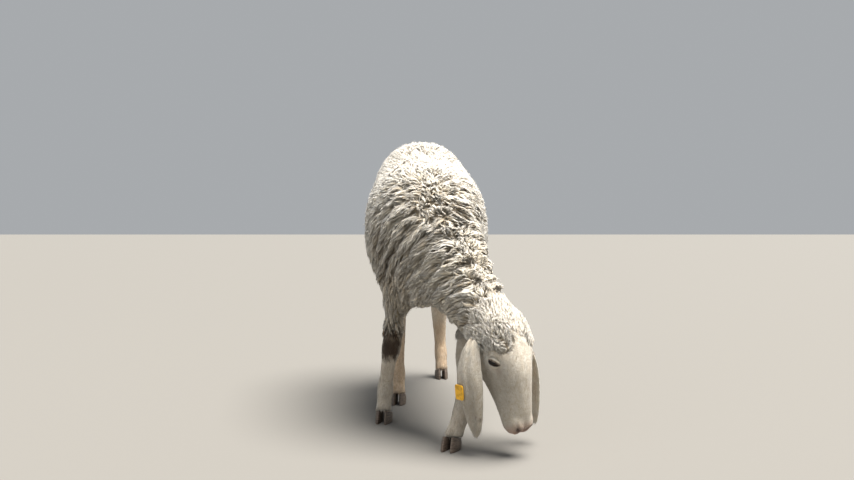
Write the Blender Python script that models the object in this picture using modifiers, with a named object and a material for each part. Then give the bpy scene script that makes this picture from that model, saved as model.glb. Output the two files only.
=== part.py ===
"""A lop-eared mountain sheep grazing in mid-step, as a still museum model at life size.

The sheep looks along -Y, its left side is +X, and its soles stand on z = 0. All solids are drawn out to the
tips of the coat: wool on the trunk, neck, crown and tail, short hair on the face, ears and lower legs.
Positions are in metres. The body is modelled whole, then parted with thin flat cuts where its parts are named.
"""

import math

import bmesh
import bpy
import numpy as np
from mathutils import Matrix, Vector

GAP = 0.0003  # clearance between touching solids
CUT = 0.0004  # thickness of the flat cuts that part the body

BODY_VOXEL = 0.0080  # grain of the trunk, neck and thighs while they are blended
FINE_VOXEL = 0.0036  # grain of the whole body, fine enough for the head and feet
BODY_TRIANGLES = 5000

EYE_RADIUS = 0.0125
SOLE_LENGTH = 0.052
CLAW_WIDTH = 0.022
CLAW_SPREAD = 0.0094  # from the middle of the foot to the middle of each claw's sole
HEEL_BEVEL = 0.003  # height over which the wall rounds into the sole
CORONET_HEIGHT = 0.027  # above the middle of the sole
CORONET_SLOPE = math.radians(16)  # the coronet falls towards the heel
FOOT_ROOM = (0.090, 0.110, 0.060)  # cleared below the coronet for the claws: width, length, height
DEWCLAW_RADII = (0.0075, 0.0075, 0.010)
DEWCLAW_SPREAD = 0.012

WOOL = (0.70, 0.64, 0.54)
HAIR = (0.78, 0.74, 0.68)
HORN = (0.16, 0.12, 0.09)
EYE = (0.04, 0.025, 0.015)
YELLOW = (0.85, 0.55, 0.03)

# The trunk, from the buttocks to the breast: y, middle x, top z, bottom z, half width.
TRUNK = (
    (0.327, -0.018, 0.620, 0.490, 0.055),
    (0.308, -0.018, 0.672, 0.440, 0.100),
    (0.260, -0.020, 0.714, 0.400, 0.139),
    (0.190, -0.016, 0.732, 0.365, 0.145),
    (0.110, -0.014, 0.715, 0.325, 0.146),
    (0.020, -0.007, 0.682, 0.298, 0.160),
    (-0.080, -0.003, 0.656, 0.288, 0.162),
    (-0.170, 0.000, 0.638, 0.285, 0.152),
    (-0.250, 0.004, 0.610, 0.282, 0.134),
    (-0.320, 0.012, 0.565, 0.290, 0.108),
    (-0.365, 0.018, 0.505, 0.320, 0.068),
)

# The neck, from between the shoulders to the throat: centre, half width, half depth, dorsal direction.
NECK = (
    ((0.008, -0.195, 0.475), 0.108, 0.130, (0.00, -0.55, 0.83)),
    ((0.030, -0.265, 0.430), 0.110, 0.122, (0.10, -0.70, 0.70)),
    ((0.064, -0.323, 0.376), 0.094, 0.097, (0.25, -0.82, 0.52)),
    ((0.099, -0.370, 0.321), 0.078, 0.076, (0.38, -0.82, 0.40)),
    ((0.128, -0.400, 0.277), 0.069, 0.064, (0.48, -0.81, 0.32)),
    ((0.146, -0.416, 0.242), 0.056, 0.056, (0.54, -0.80, 0.27)),
)

# The head has axes of its own: from the poll to the muzzle, and square to that towards the forehead.
POLL = Vector((0.146, -0.424, 0.288))
NOSE_AXIS = Vector((0.19, -0.19, -0.96)).normalized()
FOREHEAD = Vector((0.574, -0.819, 0.0))
BROW_AXIS = (FOREHEAD - FOREHEAD.dot(NOSE_AXIS) * NOSE_AXIS).normalized()
RIGHT_AXIS = NOSE_AXIS.cross(BROW_AXIS)

# The head along its axis: distance from the poll, towards the forehead, towards the jaw, half width.
SKULL = (
    (-0.022, 0.022, 0.030, 0.034),
    (0.000, 0.046, 0.052, 0.052),
    (0.030, 0.061, 0.066, 0.060),
    (0.060, 0.066, 0.074, 0.058),
    (0.090, 0.065, 0.076, 0.053),
    (0.120, 0.062, 0.068, 0.044),
    (0.150, 0.056, 0.056, 0.037),
    (0.180, 0.047, 0.045, 0.033),
    (0.210, 0.035, 0.037, 0.032),
    (0.234, 0.020, 0.030, 0.029),
    (0.247, 0.006, 0.020, 0.020),
)
EYE_PLACE = (0.095, 0.021, 0.0430)  # along the nose, towards the forehead, to the side
# What stands out from the skull: place as above, and radii to the side, along the nose and up.
HEAD_FORMS = {
    "brow": ((0.066, 0.030, 0.034), (0.024, 0.028, 0.022)),
    "cheek": ((0.085, -0.036, 0.020), (0.027, 0.048, 0.036)),
    "nostril": ((0.222, 0.012, 0.014), (0.017, 0.020, 0.016)),
    "chin": ((0.222, -0.024, 0.000), (0.018, 0.020, 0.013)),
}

# Each leg, from inside the body to below the coronet: centre, half width, half depth.
LEGS = {
    "fore_right": (
        ((-0.080, -0.215, 0.450), 0.055, 0.085),
        ((-0.086, -0.222, 0.365), 0.039, 0.058),
        ((-0.082, -0.220, 0.310), 0.029, 0.042),
        ((-0.080, -0.212, 0.262), 0.0255, 0.034),
        ((-0.083, -0.203, 0.212), 0.0235, 0.027),
        ((-0.0875, -0.199, 0.182), 0.0245, 0.027),
        ((-0.093, -0.194, 0.152), 0.0195, 0.0215),
        ((-0.099, -0.187, 0.112), 0.0175, 0.0185),
        ((-0.103, -0.181, 0.078), 0.0210, 0.0235),
        ((-0.105, -0.186, 0.050), 0.0190, 0.0205),
        ((-0.107, -0.190, 0.026), 0.0215, 0.0230),
        ((-0.107, -0.192, 0.012), 0.0200, 0.0210),
    ),
    "fore_left": (
        ((0.080, -0.195, 0.450), 0.055, 0.085),
        ((0.098, -0.202, 0.365), 0.044, 0.056),
        ((0.104, -0.220, 0.316), 0.034, 0.040),
        ((0.101, -0.250, 0.266), 0.028, 0.032),
        ((0.093, -0.286, 0.216), 0.0235, 0.026),
        ((0.088, -0.306, 0.188), 0.0240, 0.0265),
        ((0.085, -0.330, 0.156), 0.0195, 0.0215),
        ((0.083, -0.356, 0.114), 0.0175, 0.0185),
        ((0.078, -0.380, 0.080), 0.0210, 0.0235),
        ((0.067, -0.400, 0.050), 0.0190, 0.0205),
        ((0.057, -0.409, 0.026), 0.0215, 0.0230),
        ((0.054, -0.412, 0.012), 0.0200, 0.0210),
    ),
    "hind_right": (
        ((-0.082, 0.190, 0.560), 0.060, 0.110),
        ((-0.096, 0.150, 0.480), 0.062, 0.125),
        ((-0.104, 0.105, 0.410), 0.056, 0.112),
        ((-0.102, 0.078, 0.345), 0.042, 0.080),
        ((-0.093, 0.075, 0.290), 0.032, 0.053),
        ((-0.084, 0.075, 0.240), 0.0260, 0.0380),
        ((-0.081, 0.066, 0.200), 0.0225, 0.0265),
        ((-0.080, 0.046, 0.150), 0.0195, 0.0215),
        ((-0.079, 0.027, 0.108), 0.0180, 0.0190),
        ((-0.079, 0.013, 0.078), 0.0210, 0.0235),
        ((-0.0785, 0.002, 0.050), 0.0190, 0.0205),
        ((-0.078, -0.003, 0.026), 0.0215, 0.0230),
        ((-0.078, -0.005, 0.012), 0.0200, 0.0210),
    ),
    "hind_left": (
        ((0.045, 0.200, 0.560), 0.060, 0.110),
        ((0.054, 0.195, 0.480), 0.062, 0.125),
        ((0.062, 0.198, 0.410), 0.056, 0.115),
        ((0.056, 0.235, 0.345), 0.044, 0.088),
        ((0.045, 0.288, 0.290), 0.036, 0.060),
        ((0.040, 0.334, 0.245), 0.0300, 0.0390),
        ((0.039, 0.352, 0.205), 0.0260, 0.0275),
        ((0.040, 0.357, 0.155), 0.0215, 0.0220),
        ((0.042, 0.357, 0.110), 0.0190, 0.0190),
        ((0.044, 0.354, 0.078), 0.0210, 0.0235),
        ((0.045, 0.342, 0.050), 0.0190, 0.0205),
        ((0.046, 0.335, 0.026), 0.0215, 0.0230),
        ((0.046, 0.332, 0.012), 0.0200, 0.0210),
    ),
}
# Where each foot stands: the middle of its sole, and how far it turns outwards from straight ahead.
FEET = {
    "fore_right": ((-0.107, -0.196), math.radians(10)),
    "fore_left": ((0.050, -0.420), math.radians(-22)),
    "hind_right": ((-0.078, -0.009), math.radians(6)),
    "hind_left": ((0.046, 0.328), math.radians(6)),
}

# The tail: centre, half width, half depth.
TAIL = (
    ((-0.020, 0.280, 0.682), 0.034, 0.025),
    ((-0.020, 0.326, 0.660), 0.034, 0.025),
    ((-0.019, 0.358, 0.618), 0.036, 0.024),
    ((-0.018, 0.373, 0.560), 0.038, 0.025),
    ((-0.017, 0.381, 0.500), 0.035, 0.024),
    ((-0.015, 0.383, 0.450), 0.028, 0.021),
    ((-0.014, 0.381, 0.415), 0.016, 0.013),
)

# Each ear, from inside the head to its tip: centre, half width, how far its edges fold back, outer face.
EARS = {
    "ear_right": (
        ((0.118, -0.440, 0.258), 0.011, 0.002, (-0.10, -0.10, 1.00)),
        ((0.099, -0.458, 0.249), 0.015, 0.005, (-0.45, -0.45, 0.75)),
        ((0.087, -0.472, 0.226), 0.0215, 0.010, (-0.52, -0.75, 0.35)),
        ((0.083, -0.481, 0.185), 0.028, 0.011, (-0.45, -0.89, 0.00)),
        ((0.086, -0.483, 0.145), 0.029, 0.009, (-0.45, -0.89, 0.00)),
        ((0.092, -0.481, 0.105), 0.024, 0.007, (-0.45, -0.89, 0.00)),
        ((0.098, -0.476, 0.068), 0.017, 0.004, (-0.45, -0.89, 0.00)),
        ((0.101, -0.472, 0.049), 0.010, 0.002, (-0.45, -0.89, 0.00)),
        ((0.102, -0.470, 0.042), 0.004, 0.000, (-0.45, -0.89, 0.00)),
    ),
    "ear_left": (
        ((0.176, -0.397, 0.260), 0.011, 0.002, (0.10, 0.10, 1.00)),
        ((0.199, -0.382, 0.251), 0.015, 0.005, (0.45, 0.35, 0.75)),
        ((0.217, -0.369, 0.228), 0.0215, 0.010, (0.74, 0.54, 0.35)),
        ((0.230, -0.360, 0.188), 0.030, 0.011, (0.82, 0.57, 0.00)),
        ((0.235, -0.358, 0.148), 0.031, 0.009, (0.82, 0.57, 0.00)),
        ((0.237, -0.360, 0.108), 0.028, 0.007, (0.82, 0.57, 0.00)),
        ((0.238, -0.364, 0.072), 0.020, 0.004, (0.82, 0.57, 0.00)),
        ((0.239, -0.367, 0.051), 0.011, 0.002, (0.82, 0.57, 0.00)),
        ((0.239, -0.368, 0.044), 0.004, 0.000, (0.82, 0.57, 0.00)),
    ),
}
EAR_THICKNESS = 0.0070

# The ear tag: a plate outside the right ear, held by a pin to a button inside it.
TAG_PLACE = (4.0, 0.70)  # row of the ear counted from its root, and share of the half width
TAG_WIDTH = 0.024
TAG_LENGTH = 0.032
TAG_THICKNESS = 0.0016
PIN_RADIUS = 0.0024
BUTTON_RADIUS = 0.0085
BUTTON_THICKNESS = 0.0035
TAG_CORNER = 0.005

# The flat cuts: centre, direction they are square to, and their two widths.
CUTS = {
    "poll": (POLL + 0.014 * NOSE_AXIS, NOSE_AXIS + 0.40 * BROW_AXIS, 0.19, 0.19),
    "shoulder": ((0.020, -0.302, 0.462), (0.0, 1.0, 0.0), 0.40, 0.40),
    "tail": ((-0.018, 0.367, 0.585), (0.0, 0.0, 1.0), 0.10, 0.064),
    "fore_right": ((-0.087, -0.212, 0.262), (0.0, 0.0, 1.0), 0.10, 0.11),
    "fore_left": ((0.100, -0.252, 0.262), (0.0, 0.0, 1.0), 0.09, 0.10),
    "hind_right": ((-0.098, 0.070, 0.290), (0.0, 0.0, 1.0), 0.12, 0.15),
    "hind_left": ((0.048, 0.255, 0.300), (0.0, 0.0, 1.0), 0.11, 0.20),
}
# A point near each piece that the cuts leave, and what covers it.
PIECES = {
    "head": ((0.150, -0.500, 0.180), "short_hair"),
    "neck": ((0.097, -0.364, 0.318), "fleece"),
    "trunk": ((0.0, 0.050, 0.500), "fleece"),
    "tail": ((-0.018, 0.400, 0.500), "fleece"),
    "leg_fore_right": ((-0.091, -0.187, 0.112), "short_hair"),
    "leg_fore_left": ((0.073, -0.358, 0.114), "short_hair"),
    "leg_hind_right": ((-0.076, 0.046, 0.150), "short_hair"),
    "leg_hind_left": ((0.048, 0.357, 0.155), "short_hair"),
}


def clear_scene():
    for thing in list(bpy.data.objects):
        bpy.data.objects.remove(thing, do_unlink=True)


def collection(name, hidden=False):
    group = bpy.data.collections.new(name)
    bpy.context.scene.collection.children.link(group)
    group.hide_render = hidden
    return group


def material(name, colour, roughness):
    made = bpy.data.materials.new(name)
    made.use_nodes = True
    shader = made.node_tree.nodes["Principled BSDF"]
    shader.inputs["Base Color"].default_value = (*colour, 1.0)
    shader.inputs["Roughness"].default_value = roughness
    shader.inputs["Metallic"].default_value = 0.0
    return made


def object_from(name, bm, group, look=None):
    """The object of a finished bmesh, with its faces turned out and shaded smooth."""
    bmesh.ops.recalc_face_normals(bm, faces=bm.faces)
    mesh = bpy.data.meshes.new(name)
    bm.to_mesh(mesh)
    bm.free()
    made = bpy.data.objects.new(name, mesh)
    group.objects.link(made)
    if look:
        mesh.materials.append(look)
        mesh.shade_smooth()
        mesh.set_sharp_from_angle(angle=math.radians(40))
    return made


def smooth_rows(rows, between):
    """Rows of numbers, with more rows between them along a Catmull-Rom curve."""
    rows = np.array(rows, dtype=float)
    ends = np.vstack((2 * rows[0] - rows[1], rows, 2 * rows[-1] - rows[-2]))
    found = []
    for before, start, end, after in zip(ends, ends[1:], ends[2:], ends[3:]):
        for t in np.arange(between) / between:
            bend = 2 * before - 5 * start + 4 * end - after
            twist = 3 * start - before - 3 * end + after
            found.append(start + 0.5 * t * ((end - before) + t * (bend + t * twist)))
    return np.array(found + [rows[-1]])


def loft(bm, rings):
    """A closed skin over rings of equally many points, capped flat at both ends."""
    made = [[bm.verts.new(point) for point in ring] for ring in rings]
    count = len(made[0])
    for ring, following in zip(made, made[1:]):
        for i in range(count):
            j = (i + 1) % count
            bm.faces.new((ring[i], ring[j], following[j], following[i]))
    bm.faces.new(made[0][::-1])
    bm.faces.new(made[-1])


def oval(centre, side, up, half_side, half_up, half_down, power=2.2, count=32):
    """A ring about centre in the plane of side and up. A higher power squares its corners."""
    angles = np.arange(count) * 2 * math.pi / count
    across = np.sign(np.cos(angles)) * np.abs(np.cos(angles)) ** (2 / power)
    above = np.sign(np.sin(angles)) * np.abs(np.sin(angles)) ** (2 / power)
    height = np.where(above > 0, half_up, half_down)
    turned = np.outer(across * half_side, side) + np.outer(above * height, up)
    return np.array(centre) + turned


def unit(vector):
    vector = np.array(vector, dtype=float)
    return vector / np.linalg.norm(vector)


def tangents(points):
    return [unit(step) for step in np.gradient(np.array(points), axis=0)]


def add_trunk(bm):
    rings = []
    for y, x, top, bottom, half_width in smooth_rows(TRUNK, 3):
        middle = (top + bottom) / 2
        half = (top - bottom) / 2
        rings.append(oval((x, y, middle), (1, 0, 0), (0, 0, 1), half_width, half, half, 2.25))
    loft(bm, rings)


def add_limb(bm, rows, forwards):
    """A limb along its centres. Forwards is the direction in which its half depth lies, one for all or each."""
    flat = smooth_rows([(*centre, wide, deep, *forwards[i]) for i, (centre, wide, deep) in enumerate(rows)], 3)
    along = tangents(flat[:, :3])
    rings = []
    for row, direction in zip(flat, along):
        front = unit(row[5:8] - np.dot(row[5:8], direction) * direction)
        side = np.cross(direction, front)
        rings.append(oval(row[:3], side, front, row[3], row[4], row[4]))
    loft(bm, rings)


def head_point(along, up, side=0.0):
    """A point of the head: from the poll towards the nose, towards the forehead, and to its own right."""
    return POLL + float(along) * NOSE_AXIS + float(up) * BROW_AXIS + float(side) * RIGHT_AXIS


def add_skull(bm):
    rings = []
    for along, up, down, half_width in smooth_rows(SKULL, 3):
        middle = head_point(along, 0.0)
        rings.append(oval(middle, RIGHT_AXIS, BROW_AXIS, half_width, up, down, 2.2))
    loft(bm, rings)


def add_ball(bm, centre, radii, turn=None):
    """An egg of three radii, turned by a 3 x 3 matrix whose columns are its axes."""
    place = Matrix.Translation(centre) @ (turn or Matrix.Identity(3)).to_4x4() @ Matrix.Diagonal((*radii, 1.0))
    bmesh.ops.create_uvsphere(bm, u_segments=24, v_segments=16, radius=1.0, matrix=place)


def add_head_forms(bm):
    """The brows, cheeks, nostrils and chin, as eggs that the blending melts into the skull."""
    turn = Matrix((RIGHT_AXIS, NOSE_AXIS, BROW_AXIS)).transposed()
    for (along, up, side), radii in HEAD_FORMS.values():
        for place in sorted({side, -side}):
            add_ball(bm, head_point(along, up, place), radii, turn)


def apply_modifiers(thing):
    """The object's mesh as its modifiers leave it, with the modifiers gone."""
    evaluated = thing.evaluated_get(bpy.context.evaluated_depsgraph_get())
    mesh = bpy.data.meshes.new_from_object(evaluated)
    thing.modifiers.clear()
    thing.data = mesh


def blend(thing, voxel, smoothing):
    """Melts the overlapping closed skins of one mesh into a single skin, with the creases between them eased."""
    remesh = thing.modifiers.new("melt", "REMESH")
    remesh.mode = "VOXEL"
    remesh.voxel_size = voxel
    smooth = thing.modifiers.new("ease", "SMOOTH")
    smooth.factor = 0.5
    smooth.iterations = smoothing
    apply_modifiers(thing)


def thin_out(thing, triangles):
    """Fewer triangles, kept where the form bends most."""
    thing.data.calc_loop_triangles()
    decimate = thing.modifiers.new("thin out", "DECIMATE")
    decimate.ratio = triangles / len(thing.data.loop_triangles)
    decimate.use_collapse_triangulate = True
    apply_modifiers(thing)


def whole_body(group):
    """Trunk, neck, head, tail and legs as one skin."""
    bm = bmesh.new()
    add_trunk(bm)
    add_limb(bm, [row[:3] for row in NECK], [row[3] for row in NECK])
    add_limb(bm, TAIL, [(0, 1, 0.3)] * len(TAIL))
    for rows in LEGS.values():
        add_limb(bm, rows, [(0, -1, 0)] * len(rows))
    body = object_from("whole_body", bm, group)
    blend(body, BODY_VOXEL, 26)

    bm = bmesh.new()
    bm.from_mesh(body.data)
    for name, rows in LEGS.items():
        add_limb(bm, rows[3:], [(0, -1, 0)] * len(rows[3:]))
        add_dewclaws(bm, rows)
    add_skull(bm)
    add_head_forms(bm)
    bm.to_mesh(body.data)
    bm.free()
    blend(body, FINE_VOXEL, 5)
    thin_out(body, BODY_TRIANGLES)
    return body


def add_dewclaws(bm, rows):
    """The two small horny nubs behind the fetlock, under their hair."""
    (x, y, z), _, deep = rows[-4]
    for side in (-DEWCLAW_SPREAD, DEWCLAW_SPREAD):
        add_ball(bm, (x + side, y + deep - 0.002, z - 0.006), DEWCLAW_RADII)


def slab(name, centre, normal, width, depth, group, thickness=CUT):
    """A flat cutter, square to normal, as thick as the cut."""
    bm = bmesh.new()
    bmesh.ops.create_cube(bm, size=1.0)
    made = object_from(name, bm, group)
    made.display_type = "WIRE"
    turn = Vector(normal).to_track_quat("Z", "Y").to_matrix().to_4x4()
    made.data.transform(Matrix.Translation(centre) @ turn @ Matrix.Diagonal((width, depth, thickness, 1.0)))
    return made


def boolean(thing, cutter, operation="DIFFERENCE"):
    modifier = thing.modifiers.new(cutter.name, "BOOLEAN")
    modifier.operation = operation
    modifier.solver = "EXACT"
    modifier.object = cutter


def part_body(body, group, helpers):
    """Cuts the body where its parts are named, and makes an object of each piece."""
    for name, (centre, normal, width, depth) in CUTS.items():
        boolean(body, slab(f"cut_{name}", centre, normal, width, depth, helpers))
    for name in FEET:
        boolean(body, hoof_space(name, helpers))
    apply_modifiers(body)
    bm = bmesh.new()
    bm.from_mesh(body.data)
    pieces = loose_pieces(bm)
    for name, (place, look) in PIECES.items():
        nearest = min(pieces, key=lambda faces: distance_to(faces, Vector(place)))
        pieces.remove(nearest)
        object_from(name, copy_of(nearest), group, bpy.data.materials[look])
    bm.free()
    bpy.data.objects.remove(body)


def loose_pieces(bm):
    """The faces of each separate shell."""
    left = set(bm.faces)
    pieces = []
    while left:
        reached = [left.pop()]
        for face in reached:
            near = {other for edge in face.edges for other in edge.link_faces if other in left}
            left -= near
            reached.extend(sorted(near, key=lambda other: other.index))
        pieces.append(reached)
    return pieces


def distance_to(faces, place):
    return min((face.calc_center_median() - place).length for face in faces)


def copy_of(faces):
    made = bmesh.new()
    copies = {}
    for face in faces:
        for vertex in face.verts:
            if vertex not in copies:
                copies[vertex] = made.verts.new(vertex.co)
        made.faces.new([copies[vertex] for vertex in face.verts])
    return made


def foot_matrix(name):
    """From a foot's own axes (side, forwards, up) to the ground it stands on."""
    (x, y), turn = FEET[name]
    outwards = 1 if name.endswith("left") else -1
    facing = Matrix.Rotation(math.pi + turn * outwards, 4, "Z")
    return Matrix.Translation((x, y, 0)) @ facing


def coronet(forwards):
    """Height of the coronet band above a point of the sole."""
    return CORONET_HEIGHT + forwards * math.tan(CORONET_SLOPE)


def hoof_space(name, helpers):
    """What lies below a foot's coronet band: the room for its claws."""
    width, length, height = FOOT_ROOM
    up = Vector((0, -math.sin(CORONET_SLOPE), math.cos(CORONET_SLOPE)))
    centre = Vector((0, 0, CORONET_HEIGHT + GAP)) - up * height / 2
    space = slab(f"space_{name}", centre, up, width, length, helpers, height)
    space.data.transform(foot_matrix(name))
    return space


def claw_ring(side, inwards, long, wide, back, height):
    """One level of a claw, sized as shares of its sole: a half-moon, flatter inside and narrower at the toe."""
    ring = []
    for angle in np.arange(14) * 2 * math.pi / 14:
        forwards = math.cos(angle) * long * SOLE_LENGTH / 2 - back
        across = math.sin(angle) * (1 - 0.28 * math.cos(angle)) * wide * CLAW_WIDTH / 2
        if across < 0:
            across *= 0.62
        ring.append((side * (CLAW_SPREAD - inwards + across), forwards, height(forwards)))
    return ring


def claw(name, foot, side, group):
    """Half of a cloven hoof: upright walls, a flat sole, and a top that follows the coronet band."""
    rings = (
        claw_ring(side, 0.0, 1.00, 0.94, 0.0, lambda forwards: 0.0),
        claw_ring(side, 0.0, 1.02, 1.00, 0.0005, lambda forwards: HEEL_BEVEL),
        claw_ring(side, 0.0002, 0.92, 1.00, 0.0040, lambda forwards: coronet(forwards) * 0.55),
        claw_ring(side, 0.0006, 0.78, 0.95, 0.0070, coronet),
    )
    bm = bmesh.new()
    loft(bm, rings)
    made = object_from(name, bm, group, bpy.data.materials["horn"])
    made.data.transform(foot_matrix(foot))


def eye_centre(mirror):
    along, up, side = EYE_PLACE
    return head_point(along, up, side * mirror)


def ball(name, place, radius, group, look=None):
    bm = bmesh.new()
    bmesh.ops.create_uvsphere(bm, u_segments=14, v_segments=8, radius=radius, matrix=Matrix.Translation(place))
    return object_from(name, bm, group, look)


def ear_sections(name):
    """The ear's centres, half widths and folds, with the directions across it and out of its face."""
    rows = smooth_rows([(*centre, half, fold, *front) for centre, half, fold, front in EARS[name]], 2)
    found = []
    for row, direction in zip(rows, tangents(rows[:, :3])):
        front = unit(row[5:8] - np.dot(row[5:8], direction) * direction)
        found.append((row[:3], row[3], row[4], np.cross(direction, front), front))
    return found


def grown_copy(thing, grow, helpers):
    """A cutter that stands off the thing's own surface by grow."""
    cutter = bpy.data.objects.new(f"grown_{thing.name}", thing.data.copy())
    helpers.objects.link(cutter)
    cutter.display_type = "WIRE"
    swell = cutter.modifiers.new("swell", "DISPLACE")
    swell.strength = grow
    swell.mid_level = 0.0
    return cutter


def ear(name, group):
    """A long hanging ear: a leaf whose edges fold back, thick in the middle and thin at its edge."""
    turn = np.arange(12) * 2 * math.pi / 12
    across = np.cos(turn)
    rings = []
    for centre, half, fold, side, front in ear_sections(name):
        thick = np.sin(turn) * EAR_THICKNESS * (0.45 + 0.55 * np.sin(turn) ** 2) / 2
        depth = thick - fold * across**2
        rings.append(centre + np.outer(across * half, side) + np.outer(depth, front))
    bm = bmesh.new()
    loft(bm, rings)
    return object_from(name, bm, group, bpy.data.materials["short_hair"])


def tag_axes():
    """Where the pin goes through the ear, and the directions across the tag, down it and out of the ear."""
    row, share = TAG_PLACE
    centre, half, fold, side, front = ear_sections("ear_right")[round(row * 2)]
    place = centre + share * half * side - fold * share**2 * front
    out = unit(front + 2 * fold * share / half * side)
    down = unit(np.array((0.0, 0.0, -1.0)) - np.dot((0.0, 0.0, -1.0), out) * out)
    return place, np.cross(down, out), down, out


def tag_matrix():
    place, across, down, out = tag_axes()
    turn = Matrix((across, down, out)).transposed().to_4x4()
    return Matrix.Translation(place) @ turn


def disc(name, radius, low, high, group, look=None):
    """A flat cylinder on the tag's pin, between two heights out of the ear."""
    bm = bmesh.new()
    middle = Matrix.Translation((0, 0, (low + high) / 2))
    bmesh.ops.create_cone(
        bm, cap_ends=True, segments=20, radius1=radius, radius2=radius, depth=high - low, matrix=middle
    )
    made = object_from(name, bm, group, look)
    made.data.transform(tag_matrix())
    return made


def ear_tag(sheep, helpers):
    """The tag: a rounded plate with its pin outside the ear, and the button that the pin snaps into inside it."""
    yellow = bpy.data.materials["tag_plastic"]
    skin = EAR_THICKNESS * 0.5 + GAP
    bm = bmesh.new()
    bmesh.ops.create_cube(bm, size=1.0)
    bmesh.ops.scale(bm, vec=(TAG_WIDTH, TAG_LENGTH, TAG_THICKNESS), verts=bm.verts)
    upright = [edge for edge in bm.edges if abs((edge.verts[0].co - edge.verts[1].co).z) > TAG_THICKNESS / 2]
    bmesh.ops.bevel(bm, geom=upright, offset=TAG_CORNER, segments=4, profile=0.5, affect="EDGES")
    hang = TAG_LENGTH / 2 - BUTTON_RADIUS
    bmesh.ops.translate(bm, vec=(0, hang, skin + TAG_THICKNESS / 2), verts=bm.verts)
    plate = object_from("ear_tag_plate", bm, sheep, yellow)
    plate.data.transform(tag_matrix())
    pin = disc("tag_pin", PIN_RADIUS, -skin - 0.9 * BUTTON_THICKNESS, skin + TAG_THICKNESS / 2, helpers)
    boolean(plate, pin, "UNION")
    apply_modifiers(plate)
    button = disc("ear_tag_button", BUTTON_RADIUS, -skin - BUTTON_THICKNESS, -skin, sheep, yellow)
    pin_hole = disc("pin_hole", PIN_RADIUS + GAP, -TAG_LENGTH, TAG_LENGTH, helpers)
    for pierced in (button, bpy.data.objects["ear_right"]):
        boolean(pierced, pin_hole)
        apply_modifiers(pierced)


def stand_at_origin(group):
    """Moves the model so that the middle of its bounding box stands over the origin."""
    points = np.array([vertex.co for thing in group.objects for vertex in thing.data.vertices])
    low = points.min(axis=0)
    high = points.max(axis=0)
    shift = Matrix.Translation((-(low[0] + high[0]) / 2, -(low[1] + high[1]) / 2, 0.0))
    for thing in group.objects:
        thing.data.transform(shift)


def main():
    clear_scene()
    sheep = collection("sheep")
    helpers = collection("cutters", hidden=True)
    material("fleece", WOOL, 0.95)
    material("short_hair", HAIR, 0.85)
    material("horn", HORN, 0.55)
    material("eye", EYE, 0.08)
    material("tag_plastic", YELLOW, 0.45)

    part_body(whole_body(helpers), sheep, helpers)
    head = bpy.data.objects["head"]
    head_room = grown_copy(head, 2 * GAP, helpers)
    for name in EARS:
        made = ear(name, sheep)
        boolean(made, head_room)
        apply_modifiers(made)
    for side_name, mirror in (("right", 1), ("left", -1)):
        boolean(head, ball(f"socket_{side_name}", eye_centre(mirror), EYE_RADIUS + GAP, helpers))
        ball(f"eye_{side_name}", eye_centre(mirror), EYE_RADIUS, sheep, bpy.data.materials["eye"])
    apply_modifiers(head)
    ear_tag(sheep, helpers)
    for foot in FEET:
        for side_name, side in (("outer", 1), ("inner", -1)):
            claw(f"claw_{foot}_{side_name}", foot, side if foot.endswith("right") else -side, sheep)
    stand_at_origin(sheep)


if __name__ == "__main__":
    main()
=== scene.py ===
"""A lop-eared mountain sheep grazing in mid-step: skin, fleece, short hair, eyes, hooves and ear tag over a fixed
frame of solids, in a plain studio. Metres; the sheep looks along -Y and its left side is +X."""

import math

import bmesh
import bpy
import numpy as np
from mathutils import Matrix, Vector


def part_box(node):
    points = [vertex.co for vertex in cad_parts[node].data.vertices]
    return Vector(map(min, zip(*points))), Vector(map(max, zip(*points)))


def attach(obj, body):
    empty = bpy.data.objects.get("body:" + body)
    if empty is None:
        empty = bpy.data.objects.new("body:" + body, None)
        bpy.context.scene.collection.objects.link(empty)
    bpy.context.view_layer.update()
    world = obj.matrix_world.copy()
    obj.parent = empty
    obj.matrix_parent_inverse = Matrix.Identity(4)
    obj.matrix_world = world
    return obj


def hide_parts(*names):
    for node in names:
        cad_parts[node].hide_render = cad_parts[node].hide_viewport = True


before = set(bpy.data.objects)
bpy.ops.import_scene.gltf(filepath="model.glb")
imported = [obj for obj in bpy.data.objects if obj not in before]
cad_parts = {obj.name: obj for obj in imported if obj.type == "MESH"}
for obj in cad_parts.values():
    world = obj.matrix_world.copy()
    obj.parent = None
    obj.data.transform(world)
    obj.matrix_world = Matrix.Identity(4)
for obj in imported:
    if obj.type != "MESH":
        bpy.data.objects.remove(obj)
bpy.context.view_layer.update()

bl_info = {
    "name": "Grazing Sheep",
    "version": (1, 0, 0),
    "blender": (4, 5, 0),
    "location": "View3D > Sidebar > Sheep",
    "description": "Builds the skin, fleece, hair, eyes, hooves and ear tag of a grazing sheep",
    "category": "Add Mesh",
}

FLESH = ("head", "neck", "trunk", "tail", "leg_fore_right", "leg_fore_left", "leg_hind_right", "leg_hind_left")
FEET = ("fore_right", "fore_left", "hind_right", "hind_left")
PATCH = 0.003  # how wide each tuft's patch is on the unwrap of the skin
COWLICK = 0.035  # how wide the swirls in the coat are
BODY, EAR, LID = 0.0, 1.0, 2.0  # what each point of the skin belongs to


def unit(vectors):
    """Vectors made one long, but for those that are nothing."""
    vectors = np.asarray(vectors, dtype=float)
    return vectors / np.maximum(np.linalg.norm(vectors, axis=-1, keepdims=True), 1e-12)


def dot(first, second):
    """The dot product of vectors, kept as a column."""
    return np.sum(first * second, axis=-1, keepdims=True)


def distance(points, place):
    """How far each point lies from a place."""
    return np.linalg.norm(points - place, axis=1)


def mix(first, second, share):
    """The first at 0 and the second at 1, and in between in proportion."""
    return first + (second - first) * share


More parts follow.
